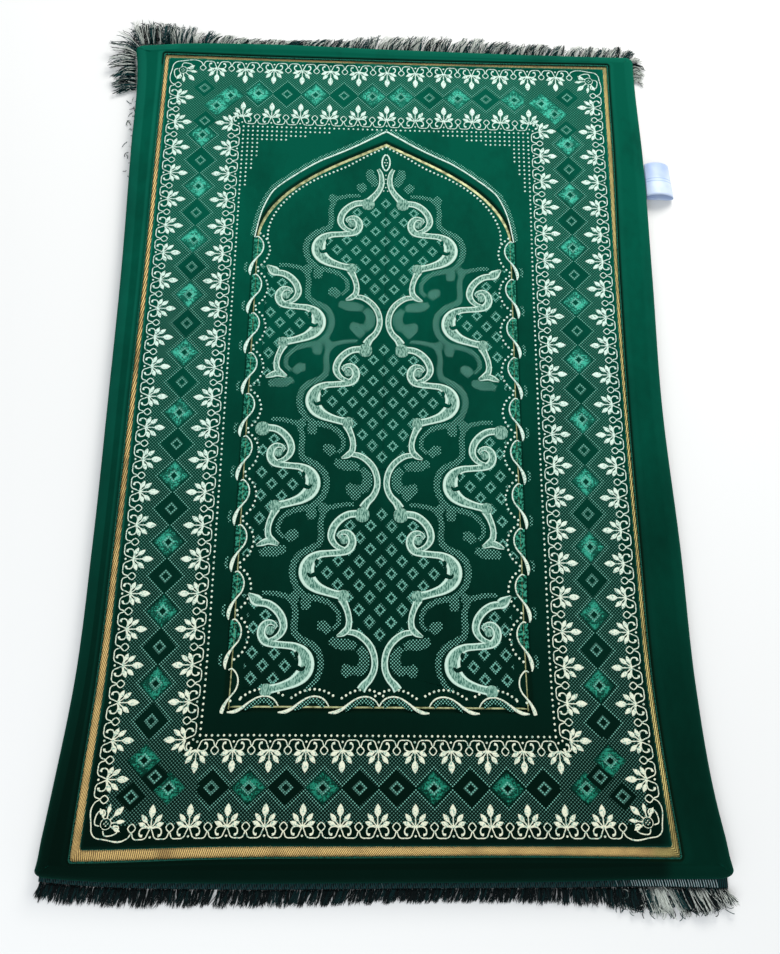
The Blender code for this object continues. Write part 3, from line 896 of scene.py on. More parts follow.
@dataclass(frozen=True)
class TrimFinish:
    """Yarns, overlock stitches, backing cloth and satin."""

    teal: Triple = (0.004, 0.046, 0.048)
    # deep: dark yarn, and also the colour of painted shade on the near fringe and the dark overlock
    # stitches
    deep: Triple = (0.0008, 0.0050, 0.0055)
    ecru: Triple = (0.66, 0.70, 0.64)
    white: Triple = (0.62, 0.74, 0.74)
    grey: Triple = (0.26, 0.36, 0.38)
    backing_dark: Triple = (0.006, 0.030, 0.026)
    backing_light: Triple = (0.012, 0.055, 0.046)
    # satin_dark and satin_light: ends of the painted shade and reflection in soft patches on the satin
    satin_dark: Triple = (0.36, 0.48, 0.78)
    satin_light: Triple = (0.58, 0.68, 0.86)
    satin_line: Triple = (0.14, 0.30, 0.55)
    line_places: tuple[float, float] = (24.0 * MM, 28.5 * MM)

    def twist(self, shader: Shader, pitch: float, turns: float) -> Signal:
        """Twist of a yarn: a sine that runs along it and once round it."""
        run, around, _ = shader.split(shader.uv("band"))
        return shader.wave(run + around * pitch, turns)

    def yarn(self) -> Material:
        """Loose fringe yarn, its colour by each yarn's tone, which also holds painted shade at the near
        end.
        """
        shader = Shader("fringe_yarn")
        tone = shader.value("tone")
        colour = shader.mix(shader.step(tone, 0.30, 0.42), self.deep, self.teal)
        colour = shader.mix(shader.step(tone, 0.50, 0.66), colour, self.ecru)
        shader.bump(self.twist(shader, 1.0 * MM, 700.0), 0.2 * MM, 0.7)
        return shader.finish(colour, roughness=0.85, sheen=0.04, specular=0.08)

    def band(self) -> Material:
        """Dark teal knitted band under the overlock stitches."""
        shader = Shader("overlock_band")
        ribs = shader.wave(shader.split(shader.uv("band"))[0], 420.0)
        shader.bump(ribs, 0.4 * MM, 0.8)
        return shader.finish(shader.mix(shader.step(ribs, -0.4, 0.8), self.deep, self.teal),
                             roughness=0.85, sheen=0.05, specular=0.1)

    def stitch(self) -> Material:
        """Overlock thread, white, painted dark teal where each stitch's tone holds painted shade."""
        shader = Shader("overlock_thread")
        twist = self.twist(shader, 0.6 * MM, 1100.0)
        strand = shader.step(twist, -0.8, 0.6)
        colour = shader.mix(shader.step(shader.value("tone"), 0.25, 0.85),
                            shader.mix(strand, self.deep, self.teal),
                            shader.mix(strand, self.grey, self.white))
        shader.bump(twist, 0.15 * MM, 0.6)
        return shader.finish(colour, roughness=0.6, sheen=0.1)

    def backing(self) -> Material:
        """Plain woven cloth under the rug."""
        shader = Shader("backing_cloth")
        x, y, _ = shader.split(shader.place())
        weave = shader.wave(x, 400.0) * shader.wave(y, 400.0)
        shader.bump(weave, 0.3 * MM, 0.8)
        colour = shader.mix(shader.step(weave, -0.6, 0.6), self.backing_dark, self.backing_light)
        return shader.finish(colour, roughness=0.9, specular=0.1)

    def satin(self) -> Material:
        """Glossy pale ribbon with soft patches of painted shade and reflection, its fine cross threads and
        two faint woven lines.
        """
        shader = Shader("satin_ribbon")
        across = shader.split(shader.uv("band"))[1]
        # painted shade and reflection: soft patches from pale to blue
        shade = shader.step(shader.noise(shader.place(), 30.0), 0.3, 0.7)
        lines = [shader.step(abs(across - middle), 0.9 * MM, 0.4 * MM) for middle in self.line_places]
        mark = shader.math("MAXIMUM", *lines) * 0.6
        colour = shader.mix(mark, shader.mix(shade, self.satin_dark, self.satin_light), self.satin_line)
        shader.bump(shader.wave(across, 1400.0), 0.08 * MM, 0.5)
        return shader.finish(colour, roughness=0.32, sheen=0.2, specular=0.5)


# ---- padded rug


@dataclass
class Skin:
    """Gathers the closed loops of one skin, from its underside to its middle."""

    rows: list[Array] = field(default_factory=list)
    shades: list[Triple] = field(default_factory=list)

    def add(self, row: Array, deep: float = 0.0, lip: float = 0.0, wall: float = 0.0) -> None:
        """Add a loop, with how much painted shade it gets as a groove, how much painted highlight as an
        edge, and how steep it is.
        """
        self.rows.append(row)
        self.shades.append((deep, lip, wall))


@dataclass(frozen=True)
class RugBody:
    """The padded velour: rounded edge, raised frame, recess for the stripe, carved face."""

    cloth: Cloth
    side_steps: int = 230
    end_steps: int = 150
    corner_steps: int = 8
    edge_rings: int = 13
    frame_rings: int = 9
    face_rings: int = 27
    niche_rings: int = 21
    # section of the carved channel: how far out of the niche, and how high, in millimetres
    channel: Table = (
        (5.2, 0.0), (4.2, -0.5), (2.6, -1.9), (0.8, -3.0),
        (-0.8, -3.0), (-2.6, -1.9), (-4.2, -0.5), (-5.2, 0.0),
    )
    # the recess's outer and inner wall: how far in, and how high, in millimetres
    drop: Table = ((-3.2, 24.8), (-1.8, 24.2), (-0.8, 23.0), (-0.2, 21.6), (0.1, 20.5))
    rise: Table = ((-0.2, 20.5), (0.2, 21.8), (0.9, 22.9), (2.2, 23.5))

    def outline(self, half: Sequence[float], radius: float) -> Array:
        """Pattern points anticlockwise round a rectangle with round corners.

        It starts in the middle of the near left corner's arc, so that each side is one
        run of points from the middle of a corner to the middle of the next.

        Args:
            half: half width and half length.
            radius: of the corners.

        Returns:
            The loop, its first point not repeated.
        """
        runs = []
        corners = np.array([(-1, -1), (1, -1), (1, 1), (-1, 1)]) * (half[0] - radius, half[1] - radius)
        for index, steps in enumerate((self.end_steps, self.side_steps) * 2):
            first, last = corners[index], corners[(index + 1) % 4]
            turn = (index - 1) * math.pi / 2
            out = np.array([math.cos(turn), math.sin(turn)])
            swing = np.linspace(-math.pi / 4, 0, self.corner_steps, endpoint=False)
            before = first + radius * np.column_stack([np.cos(turn + swing), np.sin(turn + swing)])
            after = last + radius * np.column_stack([np.cos(turn - swing), np.sin(turn - swing)])[::-1]
            share = np.linspace(0, 1, steps + 1)[:, None]
            straight = (1 - share) * first + share * last + out * radius
            runs.append(np.concatenate([before, straight, after])[:-1])
        return np.concatenate(runs)

    def ring(self, half: Sequence[float], inset: float, radius: float, height: float) -> Array:
        """One loop in space: a nested outline drawn in by inset, at a height."""
        flat = self.outline(half, radius)
        inner = self.outline((half[0] - inset, half[1] - inset), max(radius - inset, MM))
        moved = self.cloth.plan(flat) + (inner - flat)
        return np.column_stack([moved, np.full(len(moved), height)])

    def niche_loop(self) -> Array:
        """Loop round the niche with a point for each of the outline's."""
        end = self.end_steps + 2 * self.corner_steps
        side = self.side_steps + 2 * self.corner_steps
        half = self.cloth.niche_half
        foot = np.array([half, self.cloth.niche_foot])
        right = np.concatenate([[foot], self.cloth.arch(120)])
        arch = right[right[:, 0] < 0.80 * half]
        wall = right[right[:, 0] >= 0.80 * half]
        wall = resample(np.concatenate([wall, arch[:1]]), side + 1)
        arch = resample(arch, end // 2 + 1)
        mirror = np.array([-1.0, 1.0])
        base = np.linspace(foot * mirror, foot, end, endpoint=False)
        return np.concatenate([base, wall[:-1], arch[:-1], (arch * mirror)[::-1][:-1],
                               (wall * mirror)[::-1][:-1]])

    def _edge(self, skin: Skin) -> None:
        """Add the underside, the padded edge and the frame, which swells between its rims.

        Args:
            skin: where they are added.
        """
        cloth = self.cloth
        rings = [self.ring(cloth.pile, inset, cloth.corner_radius, height)
                 for inset, height in curve(cloth.edge, self.edge_rings)]
        along = np.clip(self.outline(cloth.pile, cloth.corner_radius)[:, 1], -0.3, 0.3)
        middle = np.column_stack([np.zeros(len(along)), along, np.zeros(len(along))])
        skin.add(middle)
        skin.add((rings[0] + middle) / 2)
        # the upper rings of the rounded edge get a painted highlight
        for number, ring in enumerate(rings):
            skin.add(ring, lip=0.30 if number >= self.edge_rings - 5 else 0.0)
        crest = self.ring(cloth.stripe, -5 * MM, 4 * MM, cloth.pile_top)
        # rings near the frame's crest get a painted highlight
        for share in np.linspace(0, 1, self.frame_rings)[1:]:
            row = rings[-1] * (1 - share) + crest * share
            row[:, 2] += cloth.swell(row[:, :2]) * 0.6 * math.sin(math.pi * share)
            skin.add(row, lip=0.35 if share > 0.8 else 0.0)

    def _recess(self, skin: Skin) -> None:
        """Add the recess's walls with painted shade, darker the lower they are, and a painted highlight
        along the inner wall's top.

        Args:
            skin: where they are added.
        """
        for inset, height in self.drop:
            skin.add(self.ring(self.cloth.stripe, inset * MM, 2 * MM, height * MM),
                     deep=np.clip((24.6 - height) / 2, 0, 0.85), wall=np.clip(25.4 - height, 0, 1))
        for inset, height in self.rise:
            skin.add(self.ring(self.cloth.face_edge, inset * MM, 2 * MM, height * MM),
                     lip=1.0 if height > 21 else 0.0)

    def _face(self, skin: Skin) -> None:
        """Add the woven face, the channel round the niche, and the niche to its long middle.

        Args:
            skin: where they are added.
        """
        cloth = self.cloth
        start = self.outline([half - 3.2 * MM for half in cloth.face_edge], 1.5 * MM)
        niche = self.niche_loop()
        outward = mitres(niche)
        brims = [niche + outward * self.channel[place][0] * MM for place in (0, -1)]
        for share in np.linspace(0, 1, self.face_rings)[:-1]:
            skin.add(cloth.lay(start * (1 - share) + brims[0] * share, 0.0))
        # the channel gets painted shade, darker where it is deeper
        for offset, depth in self.channel:
            skin.add(cloth.lay(niche + outward * offset * MM, depth * MM),
                     deep=min(-depth / 1.9, 1.0) * 0.8)
        spine = np.column_stack([np.zeros(len(niche)), np.clip(niche[:, 1], -0.36, 0.33)])
        for share in np.linspace(0, 1, self.niche_rings)[1:]:
            skin.add(cloth.lay(brims[1] * (1 - share) + spine * share, 0.0))

    def _shades(self, skin: Skin, flat: Array) -> dict[str, Array]:
        """Every vertex's painted shade as a groove and painted highlight as an edge.

        Painted highlights are strongest on the left and near sides, more so to the far end.  Steep walls
        get painted shade on the far and right sides, and the channel's painted shade is lighter beside the
        scallops.

        Args:
            skin: the loops with their own shades.
            flat: all their points.

        Returns:
            The two attributes.
        """
        deep, lip, wall = np.repeat(np.array(skin.shades), len(skin.rows[0]), axis=0).T
        x, y = flat[:, 0], flat[:, 1]
        lit = np.where((x < -0.33) | (y < -0.545), 0.9, 0.3) * np.clip(0.6 + y, 0.05, 1)
        deep = np.maximum(deep, wall * ((y > 0.545) | (x > 0.33)))
        return {"deep": deep * np.where((np.abs(x) < 0.21) & (y < 0.24), 0.45, 1.0), "lip": lip * lit}

    def build(self) -> Piece:
        """One closed skin: underside, edge, frame, recess, face, channel and middle.

        Returns:
            The body's object, with velour over it and backing cloth under it.
        """
        skin = Skin()
        self._edge(skin)
        self._recess(skin)
        self._face(skin)
        points = np.concatenate(skin.rows)
        count, around = len(skin.rows), len(skin.rows[0])
        obj = mesh_object("velour_rug", points, tube_quads(count, around), {"weave": points[:, :2]},
                          self._shades(skin, points))
        backing_rows = 3
        kinds = np.repeat((np.arange(count - 1) < backing_rows).astype(np.int32), around)
        obj.data.materials.append(VelourFinish().plain())
        obj.data.materials.append(TrimFinish().backing())
        obj.data.polygons.foreach_set("material_index", kinds)
        weld(obj)
        dress(obj, "velour", "rug_body")
        return obj


@dataclass(frozen=True)
class GoldStripe:
    """Twill stripe of gold yarn in the recess between the frame and the face."""

    body: RugBody
    lift: float = 0.5 * MM
    crown: float = 0.5 * MM
    columns: int = 7

    def build(self) -> Piece:
        """Closed strip round the recess, with (run, across) as its band map.

        The run is stretched along the sides, where the cords lie steeper than on the ends.

        Returns:
            The stripe's object.
        """
        cloth = self.body.cloth
        loops = [self.body.ring(half, inset * MM, 2 * MM, cloth.stripe_top)
                 for half, inset in ((cloth.stripe, 0.3), (cloth.face_edge, -0.4))]
        outside, inside = (np.concatenate([loop, loop[:1]]) for loop in loops)
        share = np.linspace(0, 1, self.columns)[None, :, None]
        points = outside[:, None] * (1 - share) + inside[:, None] * share
        points[..., 2] += self.lift + self.crown * (1 - (2 * share[..., 0] - 1) ** 4)
        points[:, (0, -1), 2] = cloth.stripe_top
        spine = (outside + inside) / 2
        steps = np.abs(np.diff(spine, axis=0)) * (1.3, 0.25, 0.0)
        run = np.concatenate([[0.0], np.cumsum(steps.sum(axis=1))])[:, None]
        width = np.linalg.norm(outside - inside, axis=1)[:, None] * (share[0, :, 0] - 0.5)
        band = np.stack(np.broadcast_arrays(run, width), axis=-1)
        obj = mesh_object("gold_stripe", points.reshape(-1, 3), grid_quads(*points.shape[:2]),
                          {"band": band.reshape(-1, 2)}, {})
        obj.data.materials.append(GoldFinish().twill())
        return dress(obj, "velour")


@dataclass(frozen=True)
class PileFuzz:
    """Loose pile tips that lean over the stripe from both of its walls.

    Each tip is a narrow curved blade: its middle line bows out from the wall, and its
    width shrinks to a point.
    """

    body: RugBody
    spacing: float = 0.55 * MM
    half_widths: Triple = (0.32 * MM, 0.24 * MM, 0.05 * MM)
    seed: int = 11

    def build(self) -> Piece:
        """Blades along both walls, of random length, lean and tone.

        Returns:
            The tips' object.
        """
        cloth = self.body.cloth
        rng = np.random.default_rng(self.seed)
        walls = ((cloth.stripe, -1.0, 1.0, 23.6, 3.4), (cloth.face_edge, 0.9, -1.0, 22.6, 2.0))
        blades = []
        for half, inset, way, height, reach in walls:
            loop = self.body.ring(half, inset * MM, 2 * MM, height * MM)
            loop = np.concatenate([loop, loop[:1]])
            run = run_of(loop)
            at = np.arange(0, run[-1], self.spacing)
            at = at + rng.uniform(-0.5, 0.5, len(at)) * self.spacing
            root = np.column_stack([np.interp(at, run, column) for column in loop.T])
            tangent = np.gradient(root, axis=0)
            tangent /= np.linalg.norm(tangent, axis=1)[:, None]
            out = np.column_stack([-tangent[:, 1], tangent[:, 0], np.zeros(len(root))]) * way
            length = rng.uniform(0.35, 1.0, len(root))[:, None] * reach * MM
            lean = rng.normal(0, 0.35, len(root))[:, None]
            drop = rng.uniform(0.1, 0.6, len(root))[:, None]
            share = np.array([0.0, 0.55, 1.0])[None, :, None]
            line = (root[:, None] + out[:, None] * length[:, None] * share
                    + tangent[:, None] * (lean * length)[:, None] * share)
            line[..., 2] += length * 0.25 * share[..., 0] - drop * length * share[..., 0] ** 2
            side = tangent[:, None] * np.array(self.half_widths)[None, :, None]
            blades.append(np.stack([line - side, line + side], axis=2))
        points = np.concatenate(blades)
        cell = np.array([[0, 1, 3, 2], [2, 3, 5, 4]])
        quads = (np.arange(len(points))[:, None, None] * 6 + cell).reshape(-1, 4)
        points = points.reshape(-1, 3)
        obj = mesh_object("pile_fuzz", points, quads, {"weave": points[:, :2]}, {})
        obj.data.materials.append(VelourFinish().tips())
        return dress(obj, "velour")


# ---- woven border


@dataclass(frozen=True)
class BorderGround:
    """Hatched ground of the border with its row of diamonds, mitred at the corners."""

    cloth: Cloth
    foot: float = 16.5 * MM
    head: float = 97.0 * MM
    middle: float = 57.0 * MM
    step: float = 6.0 * MM
    # right corners' diamonds, in millimetres from the middle, and 1 for a mint one
    far_cluster: Table = ((283, 505, 0), (242, 493, 1), (262, 474, 1), (279, 446, 0))
    near_cluster: Table = ((293, -507, 0), (250, -498, 1), (268, -485, 0), (283, -466, 1))

    def build(self, side: Side) -> Piece:
        """One side's trapezoid.

        Args:
            side: which side.

        Returns:
            The ground's object; its band map holds (pitches along, metres across).
        """
        line = self.cloth.border
        ends = side in (Side.FAR, Side.NEAR)
        reach = line[0] if ends else line[1]
        h = np.linspace(self.foot, self.head, 14)
        a = np.linspace(-1, 1, 2 * int(reach / self.step) + 1)[:, None] * (reach - h)
        h = np.broadcast_to(h, a.shape)
        flat = self.cloth.frame_point(side, a, h, line, True)
        if ends:
            along = np.abs(a) / PITCH + (0.0 if side is Side.FAR else 1.0)
            past = np.abs(a) > 5.0 * PITCH
        else:
            along = flat[..., 1] / PITCH + 1.0
            past = np.abs(flat[..., 1]) > 10.0 * PITCH
        across = np.where(past, 0.1, h - self.middle)
        relief = Relief(self.cloth)
        relief.add(flat, 0.15 * MM, 0.0, np.stack([along, across], axis=-1))
        obj = relief.build(f"border_ground_{side.value}")
        obj.data.materials.append(VelourFinish().border())
        return dress(obj, "velour")

    def corners(self) -> Piece:
        """Clusters of diamonds that turn the row round the four corners.

        Returns:
            One piece of sixteen diamonds, each a square grid stood on its corner.
        """
        relief = Relief(self.cloth)
        u, v = np.meshgrid(np.linspace(-1, 1, 11), np.linspace(-1, 1, 11), indexing="ij")
        local = np.stack([(u - v) / 2 * 21.5, (u + v) / 2 * 20.5], axis=-1) * MM
        for places in (self.far_cluster, self.near_cluster):
            for order, (x, y, mint) in enumerate(places):
                for way in (1, -1):
                    size = local * (0.95 if mint else 0.80)
                    band = np.stack([size[..., 0] / PITCH + 0.5 + (1 - mint), size[..., 1]], axis=-1)
                    relief.add(size + np.array([way * x, y]) * MM, (0.25 + 0.05 * order) * MM, 0.0, band)
        obj = relief.build("border_corners")
        obj.data.materials.append(VelourFinish().border())
        return dress(obj, "velour")


@dataclass(frozen=True)
class PalmetteRow:
    """Rows of cream palmettes on a scroll line.

    A palmette is drawn in its own directions, a along the row and h over its foot line:
    five petals fan out from its stem, over two horns that curl in like a ram's.  The
    line is the foot line's half width and half length, and the counts are the numbers of
    the last palmette on an end and on a side.
    """

    cloth: Cloth
    line: tuple[float, float]
    counts: tuple[int, int]
    inward: bool
    stem: float = 13.0 * MM
    thread: float = 0.75 * MM
    height: float = 0.6 * MM
    # direction in degrees, length, half width of the leaf and the stalk's share of the length
    petals: Table = (
        (0, 26.5, 4.6, 0.44), (38, 19.5, 3.3, 0.40), (-38, 19.5, 3.3, 0.40),
        (68, 16.0, 3.1, 0.38), (-68, 16.0, 3.1, 0.38),
    )
    # half of the scroll line, from the stem along the foot to half-way to the next palmette
    scroll: Table = (
        (0.5, 13.0), (3.0, 7.5), (5.4, 2.4), (8.0, 1.1), (12.5, 1.0), (16.8, 1.0), (19.2, 2.2),
        (20.4, 4.6), (21.1, 7.0), (22.15, 8.8),
    )
    horn: Table = (
        (0.8, 12.2), (4.0, 13.6), (8.0, 13.8), (11.6, 12.0), (12.9, 8.6), (11.6, 5.2), (8.6, 4.6),
    )

    # petals of the corner rosette: direction, length, half width
    rosette: Table = ((0, 20, 4.0), (38, 16, 2.7), (-38, 16, 2.7), (72, 13, 2.5), (-72, 13, 2.5))
    curl: Table = ((7.0, 2.5), (12.5, 0.5), (13.0, -7), (9.5, -14), (3.5, -15), (2.5, -10), (6.0, -8.5))

    def petal(self, angle: float, length: float, half: float, stalk: float) -> Array:
        """One petal, as a grid of local points: a thin stalk that opens into a leaf.

        The leaf's half width is a power of the sine of its own share of the length.

        Args:
            angle: direction in degrees from straight up.
            length: from the stem to the tip.
            half: greatest half width.
            stalk: share of the length that the stalk takes.

        Returns:
            Points of (rows, columns, 2).
        """
        leaf = np.linspace(0, 1, 10)
        share = np.concatenate([[0, stalk * 0.5], stalk + (1 - stalk) * leaf])
        width = np.concatenate([[0.95, 0.8], np.maximum(half * np.sin(math.pi * leaf ** 0.85) ** 0.9,
                                                        0.75 * (1 - leaf))]) * MM
        turn = math.radians(angle)
        along = np.array([math.sin(turn), math.cos(turn)])
        across = np.array([along[1], -along[0]])
        return ((share * length * MM)[:, None, None] * along
                + (width[:, None] * np.array(Section.LEAF.value))[..., None] * across
                + np.array([0, self.stem]))

    def _place(self, local: Array, at: Array, side: Side) -> Array:
        """Copies of local points at places along a row, as pattern points."""
        a = local[None, ..., 0] + at.reshape(-1, *[1] * (local.ndim - 1))
        h = np.broadcast_to(local[None, ..., 1], a.shape)
        return self.cloth.frame_point(side, a, h, self.line, self.inward)

    def fill(self, relief: Relief) -> None:
        """Add all four rows of palmettes with their scroll line and its beads.

        Args:
            relief: where they are added.
        """
        mirror = np.array([-1.0, 1.0])
        half = curve(np.array(self.scroll) * MM, 20)
        swell = np.interp(np.linspace(0, 1, 18), [0, 0.75, 1], [0.9, 0.85, 2.0]) * MM
        turn = np.linspace(0, 2 * math.pi, 17)
        bead = np.column_stack([4.5 * np.sin(turn) * np.abs(np.sin(turn)) ** 0.4 + 22.15,
                                13.4 - 4.9 * np.cos(turn) * np.abs(np.cos(turn)) ** 0.4]) * MM
        for side in Side:
            last = self.counts[0] if side in (Side.FAR, Side.NEAR) else self.counts[1]
            at = np.arange(-last, last + 1) * PITCH
            for petal in self.petals:
                relief.leaves(self._place(self.petal(*petal), at, side))
            for way in (1, -1):
                horn = curve(np.array(self.horn) * (way * MM, MM), 18)
                relief.ribbon(self._place(horn, at, side), swell, self.height,
                              Section.THREAD)
            strokes = ([(half, at), (half * mirror, at), (bead, at), (bead, at[:1] - PITCH)]
                       if self.inward else [(half, at[:-1]), (half * mirror, at[1:]), (bead, at[:-1])])
            for path, starts in strokes:
                relief.ribbon(self._place(path, starts, side), self.thread, self.height,
                              Section.THREAD)
            root = self._place(np.array([[0, 3.2 * MM]]), at, side)[:, 0]
            relief.discs(root, 1.5 * MM, self.height)

    def corners(self, relief: Relief) -> None:
        """Add the scroll line's turn round each outer corner, with a rosette inside it.

        Args:
            relief: where they are added.
        """
        corner = np.array(self.line)
        turn = np.radians(np.linspace(90, 0, 8))
        arc = corner - 14.5 * MM + 12 * MM * np.column_stack([np.cos(turn), np.sin(turn)])
        first, second = ((count + 0.5) * PITCH for count in self.counts)
        rise = np.array([(0, 8.4), (1.3, 5.8), (3.2, 3.0), (6.2, 1.2)]) * MM
        start = np.column_stack([first + rise[:, 0], corner[1] - rise[:, 1]])
        end = np.column_stack([corner[0] - rise[:, 1], second + rise[:, 0]])[::-1]
        path = curve(np.concatenate([start, arc, end]), 60)
        for across in (1, -1):
            for along in (1, -1):
                flip = np.array([across, along], dtype=float)
                relief.ribbon(path * flip, self.thread, self.height, Section.THREAD)
                self._rosette(relief, corner - 19.0 * MM, flip)

    def _rosette(self, relief: Relief, centre: Array, flip: Array) -> None:
        """Ring round four dots, five petals pointing in, and a curl on both sides.

        Args:
            relief: where they are added.
            centre: the ring's middle in the far right corner.
            flip: signs that turn it over into another corner.
        """
        turn = np.linspace(0, 2 * math.pi, 25) + math.pi / 4
        ring = np.column_stack([np.cos(turn), np.sin(turn)]) * 6.2 * MM
        relief.ribbon((ring + centre) * flip, 0.5 * MM, 0.5 * MM, Section.THREAD)
        dots = np.array([(-2.2, 0), (2.2, 0), (0, -2.2), (0, 2.2)]) * MM
        relief.discs((dots + centre) * flip, 0.9 * MM, 0.5 * MM)
        for swing, length, half in self.rosette:
            angle = 225 + swing
            aim = math.radians(angle)
            grid = self.petal(angle, length, half, 0.3) - np.array([0, self.stem])
            grid = grid + np.array([math.sin(aim), math.cos(aim)]) * 6.5 * MM + centre
            relief.leaves(grid * flip)
        curl = curve(np.array(self.curl) * MM, 22)
        width = np.interp(np.linspace(0, 1, 22), [0, 0.8, 1], [0.8, 0.8, 1.9]) * MM
        for way in (curl, curl[:, ::-1]):
            relief.ribbon((way + centre) * flip, width, self.height, Section.THREAD)


# ---- niche and field


def mirrored(path: Array) -> Array:
    """The path and its mirror image over the rug's long middle line, stacked."""
    flip = np.ones(path.shape[-1])
    flip[0] = -1.0
    return np.stack([path, path * flip])


def spots(path: Sequence[Sequence[float]], pitch: float) -> Array:
    """Evenly spaced points on a smooth path, about pitch apart, all in millimetres."""
    known = np.asarray(path, dtype=float)
    return curve(known, max(int(round(run_of(known)[-1] / pitch)) + 1, 2)) * MM


@dataclass(frozen=True)
class NicheLines:
    """Everything that follows the niche: gold line, white arch, scallops and arcs."""

    cloth: Cloth
    first_tip: float = 198.0
    period: float = 61.0
    scallops: int = 11
    arc_tips: Triple = (55.0, 118.0, 181.0)
    # white line over the arch, right half, in millimetres
    arch: Table = (
        (0, 436), (20, 424), (40, 412), (60, 401), (80, 391), (100, 381), (120, 368),
        (140, 353), (155, 341), (168, 328), (177, 311), (183, 295), (187, 279), (190, 262), (192, 250),
    )
    # one scallop, from its tip up: x from the middle, y over the tip, half width
    scallop: Table = (
        (195.5, -9, 0.7), (196.3, -3, 2.2), (195.0, 4, 2.5), (191.5, 12, 1.7), (186.5, 19, 1.2),
        (181.0, 26, 1.1), (178.3, 34, 1.1), (178.8, 42, 1.0), (182.5, 49, 1.0), (188.0, 53, 1.0),
        (191.0, 51, 0.8),
    )
    # one bottom arc from its hook outwards: x over the tip's x, y, half width
    arc: Table = (
        (-55, -404, 0.8), (-52, -399, 1.0), (-46, -394, 1.1), (-37, -392, 1.1), (-28, -394, 1.1),
        (-18, -400, 1.3), (-9, -407, 1.9), (0, -411, 2.1), (8, -411.5, 0.8),
    )
    # inner dotted line by the arch, right half
    arch_dots: Table = (
        (0, 408), (30, 391), (60, 372), (80, 362), (100, 352), (120, 339), (140, 322), (155, 304),
        (166, 285), (172, 266), (173, 248),
    )

    # dotted lines inside one scallop and over one arc, from its tip
    scallop_dots: Table = (
        (185, 3), (179, 8), (173, 16), (169.5, 26), (168.5, 32), (169.5, 38), (173, 47), (179, 54),
        (184, 58),
    )
    arc_dots: Table = ((-60, -391), (-50, -386), (-36, -383.5), (-22, -386), (-8, -394))

    def tips(self) -> Array:
        """Heights of the scallops' tips, in millimetres."""
        return self.first_tip - self.period * np.arange(self.scallops)

    def gold(self, relief: Relief) -> None:
        """Add the gold line on the channel's inner slope.

        Args:
            relief: where it is added.
        """
        half = np.concatenate([[(self.cloth.niche_half, self.cloth.niche_foot)], self.cloth.arch(120)])
        run = resample(half, 420)
        out = normals_of(run)
        for way in (1, -1):
            inner = (run + out * 3.4 * MM) * (way, 1)
            half_width = np.interp(run[:, 1], [0.20, 0.30], [0.9, 2.7]) * MM
            relief.ribbon(inner, half_width, 0.6 * MM, base=-0.9 * MM, tilt=0.8 * MM * way)
        foot = np.column_stack([np.linspace(-1, 1, 180) * (self.cloth.niche_half - 3 * MM),
                                np.full(180, self.cloth.niche_foot + 3.0 * MM)])
        relief.ribbon(foot, 1.1 * MM, 0.5 * MM, base=-1.0 * MM, tilt=0.6 * MM)

    def white(self, relief: Relief) -> None:
        """Add the arch's white line, the scallops and the bottom arcs.

        Args:
            relief: where they are added.
        """
        line = curve(np.array(self.arch) * MM, 90)
        relief.ribbon(mirrored(line), np.linspace(1.4, 0.9, 90) * MM, 0.7 * MM)
        shape = np.array(self.scallop)
        paths = [curve((shape + (0, tip, 0)) * MM, 30) for tip in self.tips()]
        paths = [path[path[:, 1] > self.cloth.niche_foot - 6 * MM] for path in paths]
        paths += [curve((np.array(self.arc) + (tip, 0, 0)) * MM, 26) for tip in self.arc_tips]
        for path in paths:
            relief.ribbon(mirrored(path[:, :2]), path[:, 2], 0.8 * MM, Section.LEAF)

    def hatching(self, relief: Relief) -> None:
        """Add the hatched bands outside the arch and in the scallops.

        Args:
            relief: where they are added.
        """
        line = curve(np.array(self.arch) * MM, 90)
        outer = line + normals_of(line) * 4.6 * MM
        outer = outer[outer[:, 0] > 3 * MM]
        relief.ribbon(mirrored(outer), 3.0 * MM, 0.15 * MM, Section.HATCH)
        for tip in self.tips()[:-1]:
            ticks = curve(np.array([(201, tip - 6), (203.5, tip + 3), (200, tip + 12)]) * MM, 8)
            relief.ribbon(mirrored(ticks), 2.2 * MM, 0.15 * MM, Section.TICK)
        for tip in self.arc_tips:
            path = curve(np.array([(tip - 50, -403), (tip - 37, -397), (tip - 24, -401), (tip - 12, -407)])
                         * MM, 16)
            relief.ribbon(mirrored(path), 3.6 * MM, 0.15 * MM, Section.TICK)

    def bulges(self, relief: Relief) -> None:
        """Add the mint filling between each scallop and the niche's side.

        Args:
            relief: where it is added.
        """
        share = np.linspace(0, 1, 12)
        for tip in self.tips()[:-1]:
            y = tip + 14 + 38 * share
            bulge = np.interp(y - tip, [14, 26, 34, 42, 50, 53], [190, 181.5, 179, 179.5, 184.5, 189])
            wall = np.full(len(y), 193.0)
            grid = np.stack([np.column_stack([bulge + (wall - bulge) * part, y])
                             for part in np.linspace(0, 1, 5)], axis=1) * MM
            relief.add(mirrored(grid), 0.15 * MM, skirt=True)

    def dots(self, relief: Relief) -> None:
        """Add the dotted lines inside the arch, the scallops and the arcs.

        Args:
            relief: where they are added.
        """
        rows = [spots(self.arch_dots, 6.6)[1:]]
        for tip in self.tips()[:-1]:
            rows.append(spots(np.array(self.scallop_dots) + (0, tip), 6.3))
        for tip in self.arc_tips:
            rows.append(spots(np.array(self.arc_dots) + (tip, 0), 6.5))
        rows.append(np.array([[174.0, -396.0], [186.0, -398.0]]) * MM)
        dots = np.concatenate(rows)
        dots = np.concatenate([dots, dots * (-1, 1), [[0, 0.408]]])
        relief.discs(dots, 1.75 * MM, 0.6 * MM)


